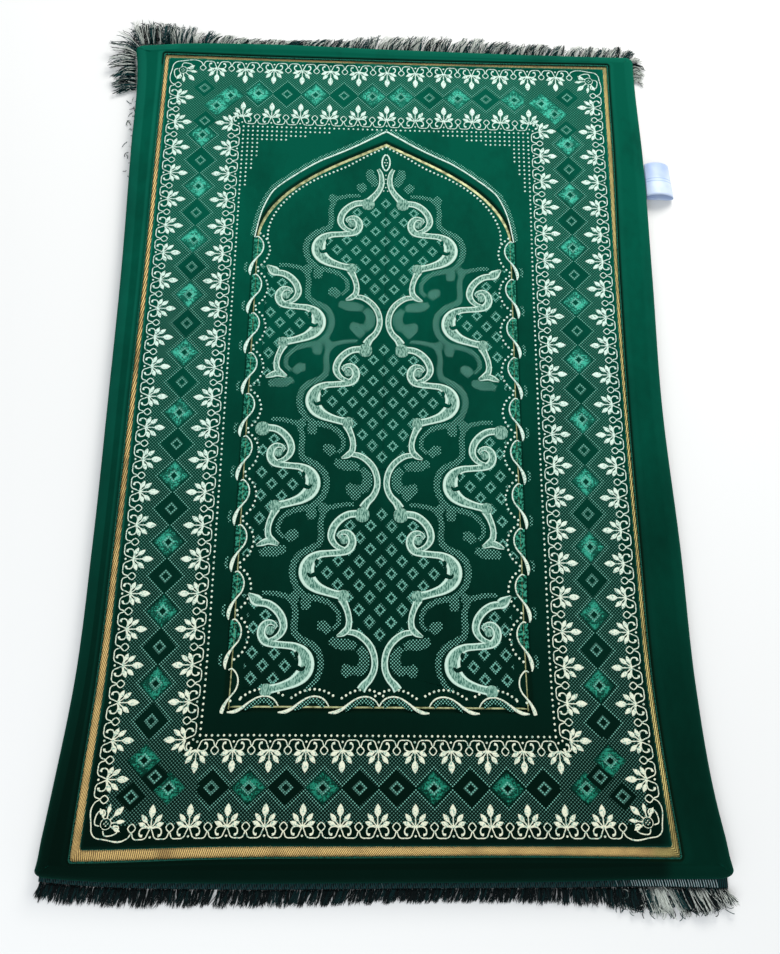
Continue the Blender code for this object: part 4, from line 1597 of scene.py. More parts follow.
@dataclass(frozen=True)
class FieldDots:
    """Dotted rectangle round the field, and the stepped dot grids in its far corners."""

    cloth: Cloth
    half: tuple[float, float] = (219.0, 438.5)
    pitch: float = 7.3
    # far rows as (y, reaches in from the corner to), and columns as (x, reaches down to)
    rows: Table = ((431, 84), (423.5, 122), (416.5, 151))
    columns: Table = ((211.5, 334), (204, 361), (196.8, 382))

    def fill(self, relief: Relief) -> None:
        """Add all the dots.

        Args:
            relief: where they are added.
        """
        x = np.arange(-30, 31) * self.pitch
        y = np.arange(-60, 61) * self.pitch
        found = [np.column_stack([x, np.full(len(x), way * self.half[1])]) for way in (1, -1)]
        found += [np.column_stack([np.full(len(y), way * self.half[0]), y]) for way in (1, -1)]
        for height, reach in self.rows:
            across = x[(np.abs(x) > reach) & (np.abs(x) < 215)]
            found.append(np.column_stack([across, np.full(len(across), height)]))
        for place, reach in self.columns:
            along = np.arange(409.5, reach, -self.pitch)
            for way in (1, -1):
                found.append(np.column_stack([np.full(len(along), way * place), along]))
        relief.discs(np.concatenate(found) * MM, 1.6 * MM, 0.6 * MM)


@dataclass(frozen=True)
class Medallions:
    """Medallions in half-drop repeat: broad scrolled ribbons round a lattice.

    One half of a medallion is drawn left of the rug's middle line, in millimetres from
    it and from the medallion's centre, and every other half is that one moved or turned
    over.
    """

    cloth: Cloth
    drop: float = 235.0
    aside: float = 191.0
    # ribbons as (x, y, half width)
    hook: Table = (
        (-31, 76, 5.0), (-45, 74, 5.2), (-57, 66, 5.4), (-65, 54, 5.4), (-66.5, 44, 5.0),
        (-62, 35, 4.2), (-55, 30, 3.4), (-47, 28, 2.4),
    )
    curl: Table = (
        (-53.5, 42, 1.6), (-57, 46, 2.2), (-53, 50, 3.0), (-46, 50.5, 4.2), (-40, 45, 5.4),
        (-38.5, 36, 5.8), (-43, 28, 5.8), (-54, 24, 5.0), (-68, 22.5, 4.6), (-82, 20.5, 5.4),
        (-92, 14, 8.0), (-97, 5, 10.0), (-97, -6, 10.6), (-92, -15, 9.6), (-83, -22, 7.6),
        (-72, -26.5, 6.0), (-60, -30, 5.4), (-50, -32, 6.0),
    )
    stem: Table = (
        (-50, -36, 6.0), (-45.5, -45, 4.6), (-41.5, -56, 4.2), (-40.3, -66, 4.2),
        (-42, -74, 4.6), (-47, -79, 4.4), (-56, -83.5, 1.2),
    )
    neck: Table = (
        (-42, -78, 3.4), (-33, -79, 4.0), (-22, -85, 4.4), (-12, -96, 4.5), (-6.8, -110, 4.4),
        (-7.0, -124, 4.4), (-12.5, -136, 4.6), (-20, -144, 5.4), (-25, -152, 6.5),
    )
    finial: Table = (
        (-12, 134.5, 2.6), (-8.5, 128, 3.4), (-6.2, 117, 4.0), (-7.0, 105, 4.4), (-12, 94, 4.8),
        (-19, 85, 5.6), (-25, 78, 6.5),
    )
    leaf: Table = (
        (-19.0, 87, 0.9), (-23, 84, 4.0), (-29, 79, 7.5), (-35, 76, 6.5),
    )
    foot: Table = (
        (-26, -86, 1.4), (-33, -83, 4.0), (-42, -80, 4.8), (-49, -82, 3.6), (-55, -85, 1.4),
    )
    # round knobs as (x, y, radius), the last one in the place of a leaf
    knobs: Table = ((-48.5, -32.5, 8.6), (-49, 40.5, 6.0), (-26, 74, 10.6))
    # dark notches bitten into the ribbons' broad places
    notches: tuple[Table, ...] = (
        ((-79, -4, 3.0), (-86, -5.0, 3.8), (-93, -7, 3.2), (-97, -2, 1.0)),
        ((-84.5, 6, 0.8), (-85, 11, 3.4), (-84, 15.5, 0.9)),
    )
    # outline of the lattice ground: y, x of the ribbon's middle
    ground: Table = (
        (86, -6), (80, -14), (72, -26), (68, -40), (56, -58), (44, -60), (36, -50), (28, -46),
        (22, -62), (16, -86), (6, -94), (-6, -94), (-15, -88), (-23, -76), (-29, -58), (-36, -46),
        (-46, -42), (-58, -38), (-68, -37), (-77, -38), (-84, -22), (-92, -12), (-99, -6),
    )
    # hatched bands that echo the ribbons
    echo: Table = (
        (-36, 88), (-48, 88), (-60, 86), (-72, 82), (-79, 72), (-81, 60), (-80, 48), (-82, 36),
        (-92, 29), (-104, 23), (-113, 13), (-116, 0), (-114, -13), (-107, -25), (-97, -33),
        (-84, -36), (-70, -40), (-60, -47), (-54, -57), (-54, -67), (-62, -76),
    )
    tufts: tuple[Table, ...] = (
        ((-24, 134), (-23, 122), (-18, 112), (-16, 104)), ((-39, 109), (-36, 102), (-30, 96)),
        ((-74, 88), (-78, 82), (-74, 76)), ((-97, -32), (-97, -42), (-97, -51)),
        ((-82, -70), (-73, -71), (-66, -79)), ((-66, -88), (-52, -93), (-38, -94), (-30, -97)),
        ((-28, -97), (-21, -106), (-20, -116), (-26, -126), (-36, -124)),
        ((-40, -118), (-42, -126), (-38, -133)),
    )

    # numbers of the tufts that a half goes without
    left_out: dict[Half, tuple[int, ...]] = field(default_factory=lambda: {
        Half.FINIAL: (), Half.MIDDLE: (1,), Half.LEAF: (1, 2, 7, 8), Half.KNOB: (1, 2, 7, 8)})

    def halves(self) -> list[tuple[Array, Array, Half]]:
        """Every half medallion: its scale, its shift and how it starts.

        Returns:
            Scale and shift for points in millimetres, and the kind.
        """
        found = []
        for number in range(3):
            centre = self.drop * (1 - number)
            for way in (1, -1):
                kind = Half.FINIAL if number == 0 else Half.MIDDLE
                found.append((np.array([way, 1.0]), np.array([0.0, centre]), kind))
                kind = Half.KNOB if number == 1 else Half.LEAF
                found.append((np.array([-way, 1.0]), np.array([-way * self.aside, centre - self.drop / 2]),
                              kind))
        return found

    def _paths(self, tables: Sequence[Table], scale: Array, shift: Array, base: int,
               each: int) -> list[tuple[int, Array]]:
        """Smooth paths of tables on the pattern, with any widths as a third column.

        Args:
            tables: the tables' own rows.
            scale: how the half is turned over, and shift where it goes.
            shift: as told under scale.
            base: number of points on each path.
            each: and how many more for each row.

        Returns:
            Each table's number and path, of those that show on the niche's floor.
        """
        found = []
        for number, rows in enumerate(tables):
            path = curve(rows, base + each * len(rows))
            path[:, :2] = path[:, :2] * scale + shift
            path = self._clip(path) * MM
            if len(path) > 3:
                found.append((number, path))
        return found

    def _clip(self, path: Array) -> Array:
        """Only the part of a path that lies on the niche's floor."""
        inside = (np.abs(path[:, 0]) < 176) & (path[:, 1] > -386)
        return path[inside]

    def ribbons(self, relief: Relief) -> None:
        """Add all the ribbons and their knobs.

        Args:
            relief: where they are added.
        """
        tops = {Half.FINIAL: [self.finial, self.neck], Half.MIDDLE: [self.neck],
                Half.LEAF: [self.leaf, self.foot], Half.KNOB: [self.foot]}
        for scale, shift, kind in self.halves():
            paths = [self.hook, self.curl, self.stem, *tops[kind]]
            for order, path in self._paths(paths, scale, shift, 10, 3):
                relief.ribbon(path[:, :2], path[:, 2], 0.7 * MM + 0.05 * MM * order, Section.BROAD)
            for x, y, radius in self.knobs[:2 if kind is Half.LEAF else 3]:
                centre = self._clip(np.array([[x, y]]) * scale + shift) * MM
                if len(centre):
                    relief.discs(centre, radius * MM, 1.1 * MM, 8, 0.3)

    def bites(self, relief: Relief) -> None:
        """Add the dark notches.

        Args:
            relief: where they are added.
        """
        for scale, shift, _ in self.halves():
            for _, path in self._paths(self.notches, scale, shift, 10, 0):
                relief.ribbon(path[:, :2], path[:, 2], 1.3 * MM, Section.LEAF)

    def lattice(self, relief: Relief) -> None:
        """Add the lattice grounds, a grid from each half's outline to its middle line.

        Args:
            relief: where they are added.
        """
        shape = curve(np.array(self.ground)[:, ::-1], 60)
        for scale, shift, _ in self.halves():
            outline = shape * scale + shift
            middle = np.column_stack([np.full(len(outline), shift[0]), outline[:, 1]])
            middle[:, 0] = np.clip(middle[:, 0], -172, 172)
            keep = outline[:, 1] > -384
            parts = np.linspace(0, 1, 10)[None, :, None]
            grid = (outline[:, None] * (1 - parts) + middle[:, None] * parts)[keep] * MM
            centre = (shift + np.array([0.0, -2.75])) * MM
            relief.add(grid, 0.2 * MM, 0.0, grid - centre, skirt=True)

    def echoes(self, relief: Relief) -> None:
        """Add the hatched echo bands and tufts.

        Args:
            relief: where they are added.
        """
        for scale, shift, kind in self.halves():
            for number, path in self._paths((self.echo, *self.tufts), scale, shift, 0, 6):
                if number in self.left_out[kind]:
                    continue
                share = np.linspace(0, 1, len(path))
                half = (4.8 if number == 0 else 7.6) * MM * (0.6 + 0.4 * np.sin(math.pi * share))
                relief.ribbon(path, half, 0.12 * MM + 0.03 * MM * (number % 3), Section.ECHO)

    def bud(self, relief: Relief) -> None:
        """Add the pointed ring over the finial, with the dots in it and under it.

        Args:
            relief: where they are added.
        """
        turn = np.linspace(0, 2 * math.pi, 33)
        width = 6.0 * np.abs(np.sin(turn)) ** 1.25 * np.sign(np.sin(turn))
        ring = np.column_stack([width, 381 + 14.0 * np.cos(turn)]) * MM
        relief.ribbon(ring, 1.25 * MM, 0.6 * MM, Section.THREAD)
        dots = np.array([(0, 386), (-1.9, 381), (1.9, 381), (0, 376), (0, 359), (0, 352), (-2, 345),
                         (2, 345), (0, 338), (-3, 332), (3, 332)]) * MM
        relief.discs(dots, 1.2 * MM, 0.5 * MM)


# ---- edges and trims


@dataclass
class Yarns:
    """Gathers thin closed tubes along paths and makes one mesh of them."""

    sides: int = 3
    points: list[Array] = field(default_factory=list)
    quads: list[Array] = field(default_factory=list)
    bands: list[Array] = field(default_factory=list)
    tones: list[Array] = field(default_factory=list)
    total: int = 0

    def add(self, paths: Array, radius: Array | float, tone: Array) -> None:
        """Add tubes that are alike in their number of points.

        Each section is a ring square to the path, and the first and last shrink to nothing.

        Args:
            paths: points of (copies, count, 3).
            radius: of each copy at each point, or one for all.
            tone: a number for each copy that its colour depends on.
        """
        copies, count = paths.shape[:2]
        tangent = np.gradient(paths, axis=1)
        tangent /= np.maximum(np.linalg.norm(tangent, axis=2)[..., None], 1e-12)
        side = np.cross(tangent, np.array([0.03, 0.02, 1.0]))
        side /= np.maximum(np.linalg.norm(side, axis=2)[..., None], 1e-12)
        rise = np.cross(side, tangent)
        turn = 2 * math.pi * np.arange(self.sides) / self.sides + math.pi / 2
        size = np.broadcast_to(radius, (copies, count)).copy()
        size[:, (0, -1)] = 0.0
        ring = side[:, :, None] * np.cos(turn)[:, None] + rise[:, :, None] * np.sin(turn)[:, None]
        points = paths[:, :, None] + ring * size[..., None, None]
        run = np.concatenate([np.zeros((copies, 1)),
                              np.cumsum(np.linalg.norm(np.diff(paths, axis=1), axis=2), axis=1)], axis=1)
        band = np.stack(np.broadcast_arrays(run[..., None], turn / (2 * math.pi)), axis=-1)
        start = self.total + np.arange(copies)[:, None, None] * count * self.sides
        self.quads.append((tube_quads(count, self.sides) + start).reshape(-1, 4))
        self.points.append(points.reshape(-1, 3))
        self.bands.append(band.reshape(-1, 2))
        self.tones.append(np.repeat(tone, count * self.sides))
        self.total += copies * count * self.sides

    def build(self, name: str, material: Material, slot: str) -> Piece:
        """Make the mesh object with its finish.

        Args:
            name: the piece's name.
            material: its finish.
            slot: not used; it is only handed on to dress.

        Returns:
            The object.
        """
        obj = mesh_object(name, np.concatenate(self.points), np.concatenate(self.quads),
                          {"band": np.concatenate(self.bands)}, {"tone": np.concatenate(self.tones)})
        obj.data.materials.append(material)
        weld(obj, 1e-6)
        return dress(obj, slot)


@dataclass(frozen=True)
class EndTrim:
    """Overlocked band under one end of the rug, with its stitches and its fringe.

    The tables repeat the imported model's: how far the band reaches out from the pile's
    edge, and the yarns' length, lean and lift along the fringe.
    """

    cloth: Cloth
    end: End
    tuck: float = 2.8 * MM
    pucker: float = 4.2 * MM
    corner_radius: float = 14.0 * MM
    clearance: float = 4.0 * MM
    # across, reach at the far and at the near end
    reaches: Table = (
        (-0.400, 0.010, 0.007), (-0.200, 0.008, 0.009), (0.200, 0.008, 0.009),
        (0.330, 0.008, 0.011), (0.440, 0.008, 0.016),
    )
    far_yarns: Table = (
        (0.00, 0.034, -0.006, 0.004), (0.06, 0.040, -0.010, 0.010), (0.12, 0.040, 0.004, 0.012),
        (0.20, 0.022, 0.012, 0.004), (0.45, 0.020, 0.012, 0.003), (0.52, 0.026, 0.014, 0.005),
        (0.80, 0.022, 0.012, 0.003), (0.94, 0.022, 0.010, 0.002), (1.00, 0.016, 0.002, 0.002),
    )
    near_yarns: Table = (
        (0.00, 0.022, 0.004, 0.001), (0.30, 0.020, 0.006, 0.001), (0.70, 0.018, 0.004, 0.001),
        (0.84, 0.024, -0.004, 0.003), (0.92, 0.032, -0.014, 0.006), (1.00, 0.018, -0.012, 0.008),
    )
    # patches of loose ends: two corners, how many, and how high they rise in millimetres
    far_patches: tuple[tuple, ...] = (
        ((-0.408, 0.600), (-0.340, 0.632), 260, (2, 9)), ((-0.418, 0.510), (-0.405, 0.595), 190, (1, 6)),
        ((-0.400, 0.36), (-0.396, 0.50), 20, (1, 3)),
    )
    near_patches: tuple[tuple, ...] = (((0.300, -0.640), (0.428, -0.618), 420, (1, 6)),)

    @property
    def far(self) -> bool:
        """True at the far end."""
        return self.end is End.FAR

    @property
    def half_length(self) -> float:
        """Half of the band's length."""
        return self.cloth.pile[0] - (18 if self.far else 5) * MM

    def _edge(self, across: Array) -> tuple[Array, Array, Array]:
        """The pile's edge at these places: its points, outward directions and band reaches."""
        way = 1 if self.far else -1
        line = self.cloth.plan(np.column_stack([across, np.full(len(across), self.cloth.pile[1] * way)]))
        table = np.array(self.reaches)
        return line, normals_of(line) * way, smooth(across, table[:, 0], table[:, 1 if self.far else 2])

    def band(self) -> Piece:
        """Closed band with a squarish round section, its outer rim puckered by the stitches.

        Returns:
            The band's object, with (run, round) as its band map.
        """
        line, out, reach = self._edge(np.linspace(-1, 1, 401) * self.half_length)
        run = run_of(line)
        pucker = np.sin(2 * math.pi * run / self.pucker)
        reach = reach + 0.25 * MM * pucker
        turn = np.linspace(0, 2 * math.pi, 17)
        half = (reach + self.tuck) / 2
        middle = (reach - self.tuck) / 2
        away = middle[:, None] + half[:, None] * np.sign(np.cos(turn)) * np.abs(np.cos(turn)) ** 0.7
        height = 1.65 * MM + 1.3 * MM * np.sin(turn) * (1 - 0.25 * np.cos(turn))
        height = height + 0.12 * MM * pucker[:, None] * np.sin(turn)
        points = np.concatenate([line[:, None] + out[:, None] * away[..., None], height[..., None]],
                                axis=-1)
        cap = points.mean(axis=1, keepdims=True)
        points = np.concatenate([np.broadcast_to(cap[:1], points[:1].shape), points,
                                 np.broadcast_to(cap[-1:], points[:1].shape)])
        run = np.concatenate([run[:1], run, run[-1:]])
        band = np.stack(np.broadcast_arrays(run[:, None], np.linspace(0, 0.03, 17)), axis=-1)
        quads = grid_quads(*points.shape[:2])
        obj = mesh_object(f"overlock_band_{self.end.value}", points.reshape(-1, 3),
                          quads if self.far else quads[:, ::-1], {"band": band.reshape(-1, 2)}, {})
        obj.data.materials.append(TrimFinish().band())
        weld(obj)
        return dress(obj, "overlock", f"band_{self.end.value}")

    def stitches(self) -> Piece:
        """Slanted overlock stitches over the band and a running stitch along the pile.

        Each stitch is an arch that goes out over the band with a slant.

        Returns:
            The stitches' object.
        """
        rng = np.random.default_rng(5 if self.far else 6)
        across = np.linspace(-1, 1, 900) * (self.cloth.pile[0] - (20 if self.far else 8) * MM)
        line, out, reach = self._edge(across)
        run = run_of(line)
        yarns = Yarns(sides=5)
        share = np.linspace(0, 1, 9)
        for low, high, pitch, slant, radius in ((0.15, 0.95, 3.2, 2.4, 0.50), (-0.1, 0.12, 5.0, 3.6, 0.42)):
            running = low < 0
            at = np.arange(4 * MM, run[-1] - 8 * MM, pitch * MM)
            at = at + rng.normal(0, 0.25, len(at)) * MM
            along = at[:, None] + (share - 0.5) * slant * MM
            away = low + (high - low) * share
            x, y, ox, oy, width = (np.interp(along, run, column) for column in (*line.T, *out.T, reach))
            rise = (3.0 + 0.5 * np.sin(math.pi * share) - (0.0 if running else 0.9) * share ** 3) * MM
            paths = np.stack([x + ox * width * away, y + oy * width * away,
                              np.broadcast_to(rise, x.shape)], axis=-1)
            middle = x.mean(axis=1)
            # painted shade: overlock stitches dark except by the right corner, the running stitch darker to
            # the left
            shade = np.clip(0.25 + 0.9 * (middle + 0.25) if running else (middle - 0.27) / 0.07, 0.0, 1.0)
            yarns.add(paths, radius * MM, shade + rng.normal(0, 0.12, len(shade)))
        return yarns.build(f"overlock_stitches_{self.end.value}", TrimFinish().stitch(), "overlock")

    def _spine(self) -> tuple[Array, Array]:
        """Line that the yarns hang from, smoothed, and the directions out of it.

        At the far end it goes on round both corners and a little down the sides.
        """
        line, out, reach = self._edge(np.linspace(-1, 1, 240) * (self.cloth.pile[0] - 6 * MM))
        line = line + out * reach[:, None]
        if self.far:
            turns = []
            for side, wrap in ((-1, 0.085), (1, 0.045)):
                down = self.cloth.pile[1] - np.linspace(self.corner_radius, wrap, 40)
                flank = self.cloth.plan(np.column_stack([np.full(40, side * self.cloth.pile[0]), down]))
                flank[:, 0] += side * self.clearance
                turns.append(flank)
            line = np.concatenate([turns[0][::-1], line, turns[1]])
        line = resample(line, 400)
        for _ in range(12):
            line[1:-1] = (line[:-2] + 2 * line[1:-1] + line[2:]) / 4
        return line, normals_of(line) * (1 if self.far else -1)

    def _tones(self, rng: np.random.Generator, loose: Array, x: Array) -> Array:
        """Each yarn's tone, three neighbours alike: cream and teal strands among dark ones
        at the far end; at the near end painted shade keeps them dark, with cream ones only by the right
        corner.

        Args:
            rng: the fringe's own random draws.
            loose: how its bundle strays.
            x: the place of its root across the rug.

        Returns:
            The tones.
        """
        count = len(x)
        dark = np.clip(0.26 + 0.10 * loose + rng.normal(0, 0.08, count), 0, 0.36)
        strand = rng.uniform(0, 1, count // 3 + 1)[np.arange(count) // 3]
        if self.far:
            return np.where(strand < 0.38, 0.60 + strand, np.where(strand < 0.7, 0.44, dark))
        # near end: dark yarns as painted shade, with cream ones by the right corner
        corner = np.where((x > 0.32) & (strand < 0.28), 0.75, dark)
        return corner + 0.55 * np.exp(-((x - 0.350) / 0.014) ** 2)

    def fringe(self) -> Piece:
        """Loose yarns in small bundles, lying out from the band.

        A yarn's plan line goes straight out with a growing lean and a wave, and its height
        falls from the band to the floor with a hump between.

        Returns:
            The fringe's object.
        """
        rng = np.random.default_rng(21 if self.far else 22)
        table = np.array(self.far_yarns if self.far else self.near_yarns)
        count, stray, wave, steps = (1700, 3.6, 2.6, 10) if self.far else (3000, 1.8, 1.2, 7)
        line, out = self._spine()
        at = np.sort(rng.uniform(0, 1, count))
        bundle = (at * count / 8).astype(int)
        loose = rng.normal(0, 1, (4, bundle.max() + 1))[:, bundle]
        length, lean, lift = (smooth(at, table[:, 0], table[:, column]) for column in (1, 2, 3))
        length = length * np.clip(0.92 + 0.13 * loose[0] + rng.normal(0, 0.07, count), 0.45, 1.12)
        lean = lean * 0.8 + stray * MM * loose[1] + rng.normal(0, 1.6, count) * MM
        curl = (rng.uniform(0.2, 1.6, count) * MM * wave)[:, None]
        phase, turns = rng.uniform(0, 2 * math.pi, count)[:, None], rng.uniform(0.5, 1.5, count)[:, None]
        place, number = at * (len(line) - 1), np.arange(len(line))
        root, away = (np.column_stack([np.interp(place, number, column) for column in known.T])
                      for known in (line, out))
        beside = np.column_stack([away[:, 1], -away[:, 0]])
        share = np.linspace(0, 1, steps)[None, :]
        reach = length[:, None] * share
        drift = lean[:, None] * share ** 1.4 + curl * (
            np.sin(2 * math.pi * turns * share + phase) - np.sin(phase)) * share
        flat = (root[:, None] - away[:, None] * 1.0 * MM + away[:, None] * reach[..., None]
                + beside[:, None] * drift[..., None])
        start = rng.uniform(1.2, 2.9, count)[:, None] * MM
        tip = (0.8 * MM + lift * np.clip(0.8 + 0.5 * loose[2], 0.1, 1.6))[:, None]
        hump = (rng.uniform(0, 1.8, count) * MM + lift * 0.4)[:, None]
        height = start + (tip - start) * share + hump * np.sin(math.pi * share)
        paths = np.concatenate([flat, np.maximum(height, 0.7 * MM)[..., None]], axis=-1)
        tone = self._tones(rng, loose[3], root[:, 0])
        yarns = Yarns()
        yarns.add(paths, rng.uniform(0.45, 0.70, count)[:, None] * MM * (1 - 0.3 * share), tone)
        self._snippets(yarns, rng)
        return yarns.build(f"fringe_yarns_{self.end.value}", TrimFinish().yarn(), "fringe_yarn")

    def _snippets(self, yarns: Yarns, rng: np.random.Generator) -> None:
        """Add curled loose ends: by the near right corner, or at the far left corner.

        Args:
            yarns: where they are added.
            rng: the fringe's own random draws.
        """
        patches = self.far_patches if self.far else self.near_patches
        root = np.concatenate([rng.uniform(low, high, (number, 2)) for low, high, number, _ in patches])
        count = len(root)
        step = rng.uniform(6, 14, count)[:, None] * MM / 9
        if self.far:
            tone = rng.choice([0.1, 0.35, 0.44, 0.8], count)
        else:
            tone = rng.uniform(0.1, 0.62, count) + 0.4 * np.exp(-((root[:, 0] - 0.346) / 0.014) ** 2)
        rise = np.concatenate([rng.uniform(*heights, number) for *_, number, heights in patches]) * MM
        share = np.linspace(0, 1, 10)[None, :]
        heading = rng.uniform(0, 2 * math.pi, count)[:, None]
        angle = heading + rng.uniform(-3.4, 3.4, count)[:, None] * share
        x = root[:, :1] + np.cumsum(np.cos(angle) * step, axis=1)
        y = root[:, 1:] + np.cumsum(np.sin(angle) * step, axis=1)
        z = 0.9 * MM + rise[:, None] * (0.4 + 0.6 * np.sin(math.pi * share + heading))
        yarns.add(np.stack([x, y, np.maximum(z, 0.7 * MM)], axis=-1), 0.55 * MM, tone)

    def build(self) -> list[Piece]:
        """The band with its stitches and fringe."""
        band = self.band()
        fringe = self.fringe()
        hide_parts(f"fringe_{self.end.value}")
        pieces = [self.stitches(), fringe]
        return [band, *pieces]


@dataclass(frozen=True)
class SideTab:
    """Satin ribbon folded into a bare loop that stands out of the right side's seam."""

    cloth: Cloth
    along: tuple[float, float] = (0.3390, 0.3940)
    thickness: float = 0.7 * MM
    skew: float = 4.0 * MM
    reach: float = 0.0402
    # middle line of the ribbon, from the seam over the top and back underneath: out and up
    route: Table = (
        (0.0008, 0.0120), (0.0080, 0.0168), (0.0170, 0.0186), (0.0265, 0.0172), (0.0345, 0.0130),
        (0.0395, 0.0078), (0.0402, 0.0036), (0.0355, 0.0014), (0.0230, 0.0012), (0.0040, 0.0014),
    )

    def build(self) -> Piece:
        """Thin closed ribbon: the route's outline carried across, with a faint sag.

        Returns:
            The tab's object, with (run, across) as its band map.
        """
        line = curve(self.route, 48)
        side = normals_of(line) * self.thickness / 2
        share = np.linspace(0, 1, 17)
        outline = np.concatenate([line + side, (line - side)[::-1]])
        run = run_of(line)
        run = np.concatenate([run, run[::-1], run[:1]])
        y = self.along[0] + (self.along[1] - self.along[0]) * share
        edge = self.cloth.plan(np.column_stack([np.full(len(y), self.cloth.pile[0]), y]))[:, 0]
        stretch = 1 + self.skew * (1 - share) / self.reach
        wave = 0.35 * MM * np.sin(9 * share)[:, None] * np.sin(60 * outline[:, 0])[None]
        x = edge[:, None] + outline[None, :, 0] * stretch[:, None]
        points = np.stack([x, np.broadcast_to(y[:, None], x.shape), outline[None, :, 1] + wave], axis=-1)
        ends = [(points[i] + points[i][::-1]) / 2 for i in (0, -1)]
        points = np.concatenate([ends[0][None], points, ends[1][None]])
        points = np.concatenate([points, points[:, :1]], axis=1)
        width = np.concatenate([y[:1], y, y[-1:]]) - self.along[0]
        band = np.stack(np.broadcast_arrays(run, width[:, None]), axis=-1)
        quads = grid_quads(*points.shape[:2])[:, (0, 3, 2, 1)]
        obj = mesh_object("satin_tab", points.reshape(-1, 3), quads, {"band": band.reshape(-1, 2)}, {})
        obj.data.materials.append(TrimFinish().satin())
        weld(obj, 1e-6)
        dress(obj, "satin", "side_tab")
        return obj


# ---- studio


@dataclass(frozen=True)
class Studio:
    """Pale floor, soft lights, and the camera over the rug's near half."""

    half_floor: float = 6.0
    focal: float = 33.034
    sensor: float = 36.0
    shift: float = -0.0807
    place: Triple = (-0.02227, -0.35239, 1.19719)
    # turns about x, y and z that bring the world to the camera
    turns: Triple = (-0.2924514, 0.0261187, -0.0181999)

    def floor(self) -> None:
        """Large plain plane under the rug."""
        mesh = bpy.data.meshes.new("floor")
        corners = [(x * self.half_floor, y * self.half_floor, 0)
                   for x, y in ((-1, -1), (1, -1), (1, 1), (-1, 1))]
        mesh.from_pydata(corners, [], [(0, 1, 2, 3)])
        obj = bpy.data.objects.new("floor", mesh)
        bpy.context.scene.collection.objects.link(obj)
        shader = Shader("floor")
        obj.data.materials.append(shader.finish((0.80, 0.80, 0.79), roughness=0.9, specular=0.1))

    def light(self, name: str, place: Triple, target: Triple, size: tuple[float, float], power: float,
              colour: Triple) -> None:
        """One area light aimed at a target.

        Args:
            name: its name.
            place: where it hangs, and target the point it looks at.
            size: its width and height.
            power: in watts.
            colour: its colour.
        """
        lamp = bpy.data.lights.new(name, "AREA")
        lamp.shape = "RECTANGLE"
        lamp.size, lamp.size_y = size
        lamp.energy = power
        lamp.color = colour
        obj = bpy.data.objects.new(name, lamp)
        obj.location = place
        obj.rotation_euler = (Vector(target) - Vector(place)).to_track_quat("-Z", "Y").to_euler()
        bpy.context.scene.collection.objects.link(obj)

    def camera(self) -> None:
        """Camera that looks down on the rug and a little along it."""
        lens = bpy.data.cameras.new("camera")
        lens.lens = self.focal
        lens.sensor_width = self.sensor
        lens.shift_y = self.shift
        lens.clip_start, lens.clip_end = 0.01, 50.0
        obj = bpy.data.objects.new("camera", lens)
        spin = (Matrix.Rotation(self.turns[2], 3, "Z") @ Matrix.Rotation(self.turns[1], 3, "Y")
                @ Matrix.Rotation(self.turns[0], 3, "X"))
        obj.matrix_world = Matrix.Translation(self.place) @ spin.transposed().to_4x4()
        bpy.context.scene.collection.objects.link(obj)
        bpy.context.scene.camera = obj

    def build(self) -> None:
        """Floor, lights, sky and camera."""
        self.floor()
        self.light("key", (0.9, 2.1, 1.5), (0.0, 0.1, 0.0), (1.4, 1.0), 62.0, (1.0, 0.98, 0.94))
        self.light("fill", (-0.6, -1.6, 1.9), (0.0, 0.0, 0.0), (2.0, 1.6), 26.0, (0.94, 0.97, 1.0))
        world = bpy.data.worlds.new("studio")
        world.use_nodes = True
        backdrop = world.node_tree.nodes["Background"]
        backdrop.inputs["Color"].default_value = (0.92, 0.96, 1.0, 1.0)
        backdrop.inputs["Strength"].default_value = 0.62
        bpy.context.scene.world = world
        bpy.context.scene.view_settings.view_transform = "Standard"
        self.camera()


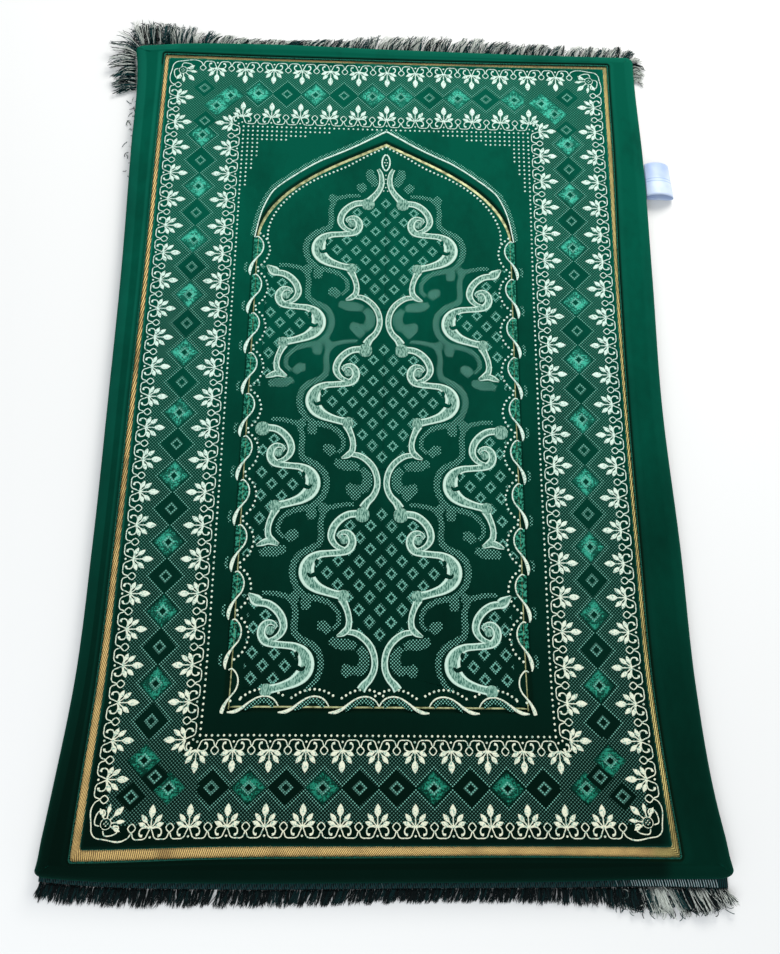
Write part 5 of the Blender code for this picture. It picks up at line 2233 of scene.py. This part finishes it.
def dress(obj: Piece, slot: str, *nodes: str) -> Piece:
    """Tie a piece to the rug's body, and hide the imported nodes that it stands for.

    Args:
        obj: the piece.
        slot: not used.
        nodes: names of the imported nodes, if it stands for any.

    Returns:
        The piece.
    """
    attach(obj, ROOT)
    if nodes:
        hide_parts(*nodes)
    return obj


def figures(cloth: Cloth) -> list[Piece]:
    """Every woven figure on the face, one piece for each kind of yarn and place.

    Args:
        cloth: the rug that they lie on.

    Returns:
        The pieces.
    """
    outer = PalmetteRow(cloth, cloth.border, (6, 11), inward=True)
    inner = PalmetteRow(cloth, (0.2235, 0.4425), (5, 10), inward=False)
    niche, dots, medallions = NicheLines(cloth), FieldDots(cloth), Medallions(cloth)
    velour, figure, gold = VelourFinish(), FigureFinish(), GoldFinish()
    plans: list[tuple[str, Sequence[Callable[[Relief], None]], Material]] = [
        ("palmettes_outer", [outer.fill, outer.corners], figure.solid()),
        ("palmettes_inner", [inner.fill], figure.solid()),
        ("dots", [dots.fill, niche.dots, medallions.bud], figure.solid()),
        ("niche_white", [niche.white], figure.solid()),
        ("niche_gold", [niche.gold], gold.thread()),
        ("niche_hatching", [niche.hatching, medallions.echoes], velour.hatched()),
        ("niche_mint", [niche.bulges], velour.speckled()),
        ("medallion_lattice", [medallions.lattice], velour.lattice()),
        ("medallion_ribbons", [medallions.ribbons], figure.ribbon()),
        ("medallion_notches", [medallions.bites], velour.plain()),
    ]
    pieces = []
    for name, parts, material in plans:
        relief = Relief(cloth)
        for part in parts:
            part(relief)
        obj = relief.build(name)
        obj.data.materials.append(material)
        pieces.append(dress(obj, "velour"))
    return pieces


def report(pieces: Sequence[Piece]) -> None:
    """Log each piece with its number of faces."""
    for piece in pieces:
        LOG.info("%s: %d faces", piece.name, len(piece.data.polygons))


def main() -> None:
    """Build the rug's sub-assemblies in order, then the studio, and log each piece's number of faces."""
    logging.basicConfig(level=logging.INFO, format="%(name)s: %(message)s")
    cloth = Cloth()
    body = RugBody(cloth)
    report([body.build()])
    report([GoldStripe(body).build(), PileFuzz(body).build()])
    ground = BorderGround(cloth)
    report([*(ground.build(side) for side in Side), ground.corners()])
    report(figures(cloth))
    for end in End:
        report(EndTrim(cloth, end).build())
    report([SideTab(cloth).build()])
    Studio().build()


if __name__ == "__main__":
    main()
